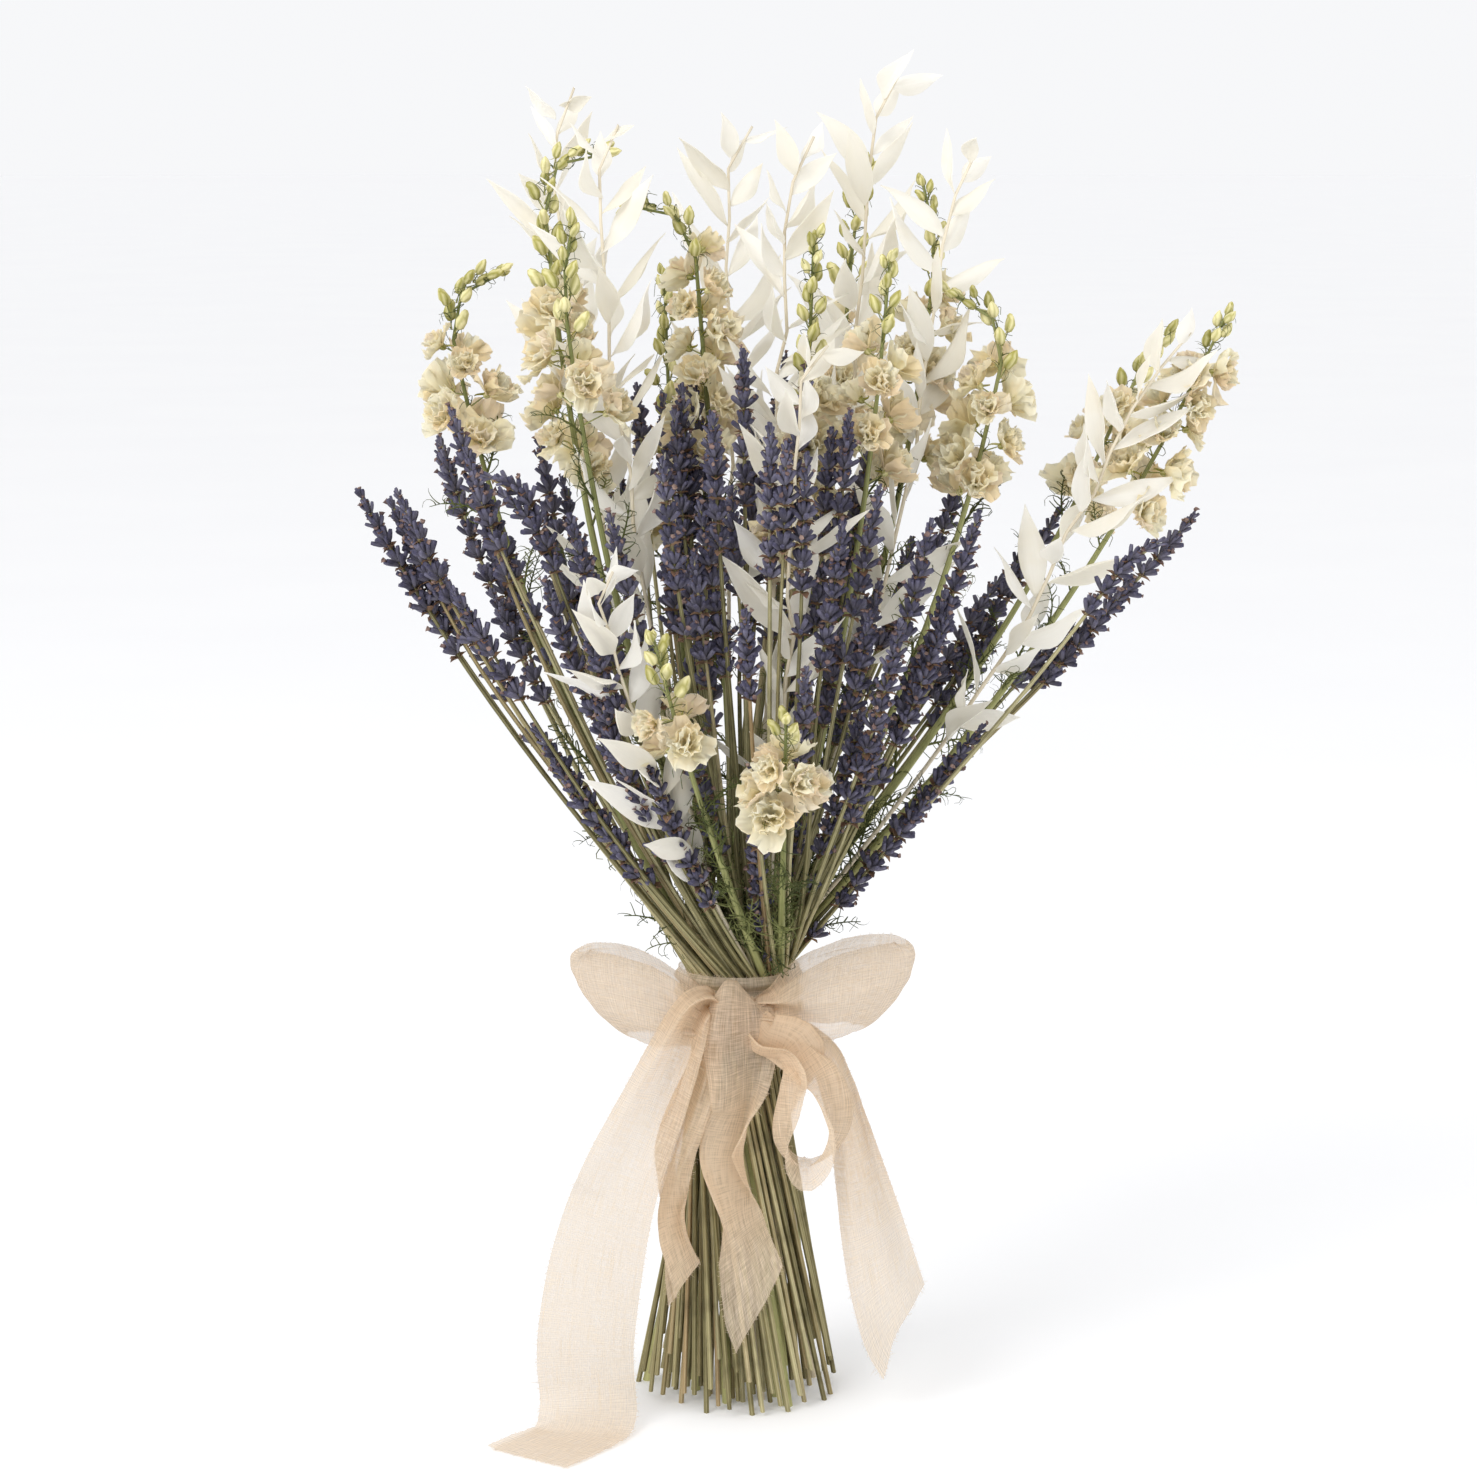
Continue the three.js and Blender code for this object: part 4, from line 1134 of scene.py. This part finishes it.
# a sheet of ribbon along the rings of its packed strip
def ribbonSheet(path, pleats, openPleats, belly, slant, seed, give, soft, fan):
    middles, wides, widths = path
    lengths = Line.along(middles)
    long = lengths[-1]
    rows = max(8, round(long / (gauze["rowLength"] * mm)))
    bm = bmesh.new()
    bunchedLayer = bm.verts.layers.float.new("tone")
    uv = bm.loops.layers.uv.new("cloth")
    bmesh.ops.create_grid(bm, x_segments=gauze["columns"], y_segments=rows, size=0.5)
    spots = np.array([(v.co.x + 0.5, v.co.y + 0.5) for v in bm.verts])
    for face in bm.faces:
        face.smooth = True
        for loop in face.loops:
            loop[uv].uv = ((loop.vert.co.x + 0.5) * gauze["width"], (loop.vert.co.y + 0.5) * long / mm)
    across = np.linspace(0, 1, 61)

    def folds(u, share, gathered):
        count = openPleats + (pleats - openPleats) * gathered
        drift = seed + 1.4 * np.sin(share * 5 + seed)
        wave = np.sin(math.tau * count * u + drift) * (0.75 + 0.35 * np.sin(5 * u + seed * 2))
        wave = wave + 0.3 * np.sin(math.tau * (count * 1.9 + 0.5) * u + 2 * drift) * gathered
        return wave - 0.64 * np.sin(drift + math.pi * count)  # about level with the path

    rowShare = np.linspace(0, 1, rows + 1)
    rowWidth = np.interp(rowShare * long, lengths, widths)
    rowWidth = np.minimum(rowWidth, 0.985 * gauze["width"] * mm)
    rowGathered = np.clip(1.25 - rowWidth / (0.62 * gauze["width"] * mm), 0, 1)
    fold = folds(across[None], rowShare[:, None], rowGathered[:, None])
    rowDepth = pleatDepth(fold, across, rowWidth, give * gauze["width"] * mm)
    rowDepth = np.maximum(rowDepth, soft * mm * np.abs(np.cos(math.pi * rowShare)))
    u, v = spots[:, 0], spots[:, 1]
    along = v * (1 - slant * u * v**3) * long
    share = along / long
    route = Line(middles, 0.002)
    wideLine = np.stack([np.interp(along, lengths, wides[:, k]) for k in range(3)], 1)
    point, way, _, _ = route.frames(share * route.length)
    wideLine -= way * (wideLine * way).sum(axis=1)[:, None]
    wideLine /= np.linalg.norm(wideLine, axis=1)[:, None]
    normal = np.cross(way, wideLine)
    width = np.interp(share, rowShare, rowWidth)
    gathered = np.interp(share, rowShare, rowGathered)
    lift = folds(u, share, gathered) * np.interp(share, rowShare, rowDepth)
    lift += belly * mm * (np.sqrt(1 - 0.96 * (2 * u - 1) ** 2) - 0.75) * np.sin(math.pi * share) ** 0.8
    creases = np.array([
        noise.noise(Vector((a * 5, b * 0.05, seed))) + 0.5 * noise.noise(Vector((a * 13, b * 0.14, seed)))
        for a, b in zip(u, v * long / mm)
    ])
    lift += creases * gauze["crumple"] * 1.6 * mm * (0.5 + 0.5 * gathered)
    places = point + wideLine * ((u - 0.5) * width)[:, None] + normal * lift[:, None]
    places[:, 0] += (places[:, 0] - knotMiddle.x) * fan * (u - 0.5) * wideLine[:, 2]
    # what reaches the ground lies on it
    places[:, 2] = np.maximum(places[:, 2], (0.2 + 0.4 * (creases + 1)) * mm)
    for vert, place, bunched in zip(bm.verts, places, gathered):
        vert.co = place
        vert[bunchedLayer] = min(1, bunched * 1.1)
    bmesh.ops.recalc_face_normals(bm, faces=bm.faces)
    return bm, long


# short loose threads along the cut and woven edges of a sheet
def fringe(bm, name):
    rim = [e for e in bm.edges if e.is_boundary]
    threads = bmesh.new()
    for edge in rim:
        gone = edge.calc_length()
        for _ in range(int(gone / (gauze["fringeStep"] * mm) + chance.random())):
            share = chance.random()
            place = edge.verts[0].co.lerp(edge.verts[1].co, share)
            face = edge.link_faces[0]
            outward = place - face.calc_center_median()
            run = (edge.verts[1].co - edge.verts[0].co).normalized()
            outward = (outward - run * outward.dot(run)).normalized()
            way = outward + run * chance.uniform(-1.3, 1.3) + face.normal * chance.uniform(-0.6, 0.6)
            reach = chance.expovariate(1.0) * 0.55 + 0.25
            if place.z < 2 * mm and way.z < 0:
                way.z = abs(way.z)
            addCopy(threads, chance.choice(whiskers), posed(place, way, anyTurn(), 1, min(3.2, reach)), 0.5)
    return finished(threads, name, [fringeFinish])


whiskers = [
    threadPart(f"whisker{k}", 3, gauze["fringeLength"] * mm, 0.5 + 0.5 * k, gauze["threadRadius"] * mm, 0)
    for k in range(3)
]
knotLow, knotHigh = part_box("ribbon_knot")
knotMiddle = (knotLow + knotHigh) / 2
# how a stretch lies, where its own row doesn't say
usualManner = {
    "pleats": 1.4,  # where it is gathered
    "openPleats": 0.9,
    "belly": 0.0,
    "slant": 0.0,  # of its cut end
    "seed": 0.0,
    "give": 0.86,  # the share of the cloth's width that its pleats take up
    "soft": 0.4,  # how deep its soft folds are
    "fan": 0.0,  # how much further out its upper edge reaches
}
# how each stretch is held, what it rests on, and its manner
stretches = {
    "bow_loop_left": (
        "gathered", ["ribbon_knot"],
        {"pleats": 3.0, "openPleats": 1.3, "belly": -13.0, "seed": 0.4, "soft": 3.6, "fan": 0.36},
    ),
    "bow_loop_right": (
        "gathered", ["ribbon_knot"],
        {"pleats": 2.8, "openPleats": 1.2, "belly": -13.0, "seed": 2.9, "soft": 3.4, "fan": 0.3},
    ),
    "ribbon_small_loop": (
        "folded", ["ribbon_knot"],
        {"pleats": 1.0, "openPleats": 0.7, "belly": 0.6, "seed": 1.7, "give": 0.74, "soft": 0.3},
    ),
    "ribbon_tail_left_outer": (
        "hung", ["ribbon_knot"], {"pleats": 1.9, "belly": 1.5, "seed": 5.1, "give": 0.84}
    ),
    "ribbon_tail_left_inner": (
        "hung", ["ribbon_knot"], {"belly": -1.0, "slant": 0.12, "seed": 3.3, "give": 0.8}
    ),
    "ribbon_tail_centre": (
        "hung", ["ribbon_knot"],
        {"pleats": 0.9, "openPleats": 0.5, "belly": 1.0, "slant": 0.2, "give": 0.78, "soft": 0.3},
    ),
    "ribbon_tail_right": (
        "hung", ["ribbon_knot"],
        {"openPleats": 0.8, "belly": 1.5, "slant": 0.17, "seed": 4.4, "give": 0.82},
    ),
    "ribbon_wrap": (
        "gathered", ["binding_twine"], {"pleats": 5.0, "openPleats": 4.5, "seed": 2.2, "soft": 0.0}
    ),
    "ribbon_knot": ("folded", ["gauze_wrap"], {"pleats": 2.6, "openPleats": 2.2, "seed": 0.7, "soft": 0.0}),
}


# a finished stretch of cloth with its fringe, and the length it has laid flat
def addStretch(name, path):
    held, rests, own = stretches[name]
    manner = {**usualManner, **own}
    made = "gauze_" + name.replace("ribbon_", "")
    bm, long = ribbonSheet(path, **manner)
    edge = fringe(bm, made + "_fringe")
    sheet = finished(bm, made, [gauzeFinish], [name])
    flat = (gauze["width"] * mm, long)
    cutOff = manner["slant"] / 2  # the share that a slanted end takes off
    area = flat[0] * flat[1] * (1 - cutOff) if cutOff else None
    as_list(rests)
    print(made, "flat length", round(long * 1000), "mm")


# a path with more rings put before its first one or after its last
def extended(path, places, sizes, atEnd=False):
    middles, wides, widths = path
    end = -1 if atEnd else 0
    extra = [np.array(places), np.repeat(wides[[end]], len(places), axis=0), np.array(sizes)]
    pairs = zip((middles, wides, widths), extra)
    return [np.concatenate([old, new] if atEnd else [new, old]) for old, new in pairs]


# the tail in the middle is drawn out over the top of the knot in one broad fold
def overKnot(path):
    middles, wides, widths = path
    x, front, top = knotMiddle.x + 1 * mm, knotLow.y, knotHigh.z
    places = [[x, front + 5 * mm, top + 2 * mm], [x, front + 0.5 * mm, top + 3.4 * mm],
              [x, front - 2.6 * mm, top - 1 * mm], [x, front - 3.4 * mm, top - 8 * mm]]
    path = extended(path, places, [20 * mm, 21 * mm, 24 * mm, 27 * mm])
    path[1][:4] = (1, 0, 0)
    drop = top - path[0][:, 2]
    held = drop < 48 * mm
    furthest = front - 3.4 * mm + 0.16 * np.maximum(0, drop[held] - 8 * mm)
    path[0][held, 1] = np.minimum(path[0][held, 1], furthest)
    path[0][:3, 1] = [place[1] for place in places[:3]]
    drops, breadths = np.array([[8, 16, 24, 33, 42, 50], [27, 30, 29, 25, 18, 11]]) * mm
    broad = np.interp(drop, drops, breadths)
    near = (drop > 8 * mm) & (drop < 50 * mm)
    path[2][near] = broad[near]
    return path


for name in stretches:
    if name in ("ribbon_wrap", "ribbon_knot"):
        continue
    path = list(stripRings(name, knotMiddle))
    if name == "ribbon_tail_centre":
        path = overKnot(path)
    else:
        if "bow" in name:
            # the loops stay broad at the knot, and the back of each rides higher
            share = np.linspace(0, 1, len(path[2]))
            path[2] = np.clip(path[2], 15 * mm, 36 * mm)
            path[0][:, 2] += 18 * mm * np.sin(math.pi * share) * (share - 0.42)
        elif "small" in name:
            path[2] = np.maximum(path[2] * 1.15, 10 * mm)
            path[1][:, 2] += 0.5 * path[1][:, 1]
        middle = np.array(knotMiddle)
        path = extended(path, [path[0][0] + (middle - path[0][0]) * 0.6], [path[2][0] * 0.8])
        if "loop" in name:
            path = extended(path, [path[0][-1] + (middle - path[0][-1]) * 0.6], [path[2][-1] * 0.8], True)
    addStretch(name, path)

# the band round the neck, which laps over itself at the back
wrapLow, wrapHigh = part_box("ribbon_wrap")
angles = np.radians(np.linspace(75, 75 + 405, 64))
reach = (wrapHigh.x - wrapLow.x) / 2 - 1.6 * mm + np.linspace(0, 1.1, 64) * mm
level = np.full(64, (wrapLow.z + wrapHigh.z) / 2)
middles = np.stack([reach * np.cos(angles), reach * np.sin(angles), level], 1)
addStretch("ribbon_wrap", [middles, np.tile((0.0, 0.0, 1.0), (64, 1)), np.full(64, wrapHigh.z - wrapLow.z)])

# the knot, the ribbon turned over itself from top to bottom
angles = np.radians(np.linspace(-170, 190, 48))
deep, tall = (knotHigh.y - knotLow.y) / 2 - 0.4 * mm, (knotHigh.z - knotLow.z) / 2 - 0.4 * mm
middles = np.stack([
    np.full(48, knotMiddle.x), knotMiddle.y + deep * np.sin(angles), knotMiddle.z - tall * np.cos(angles)
], 1)
sizes = (knotHigh.x - knotLow.x) * (0.86 + 0.12 * np.cos(2 * angles))
addStretch("ribbon_knot", [middles, np.tile((1.0, 0.0, 0.0), (48, 1)), sizes])

twine = nodes["binding_twine"]
twine.data.materials.clear()
twine.data.materials.append(twineFinish)
print("ribbon made")
meshes = [piece.data for piece in bpy.data.objects if piece.type == "MESH"]
triangles = [sum(len(face.vertices) - 2 for face in mesh.polygons) for mesh in meshes]
print("triangles", sum(triangles), "most in one piece", max(triangles))
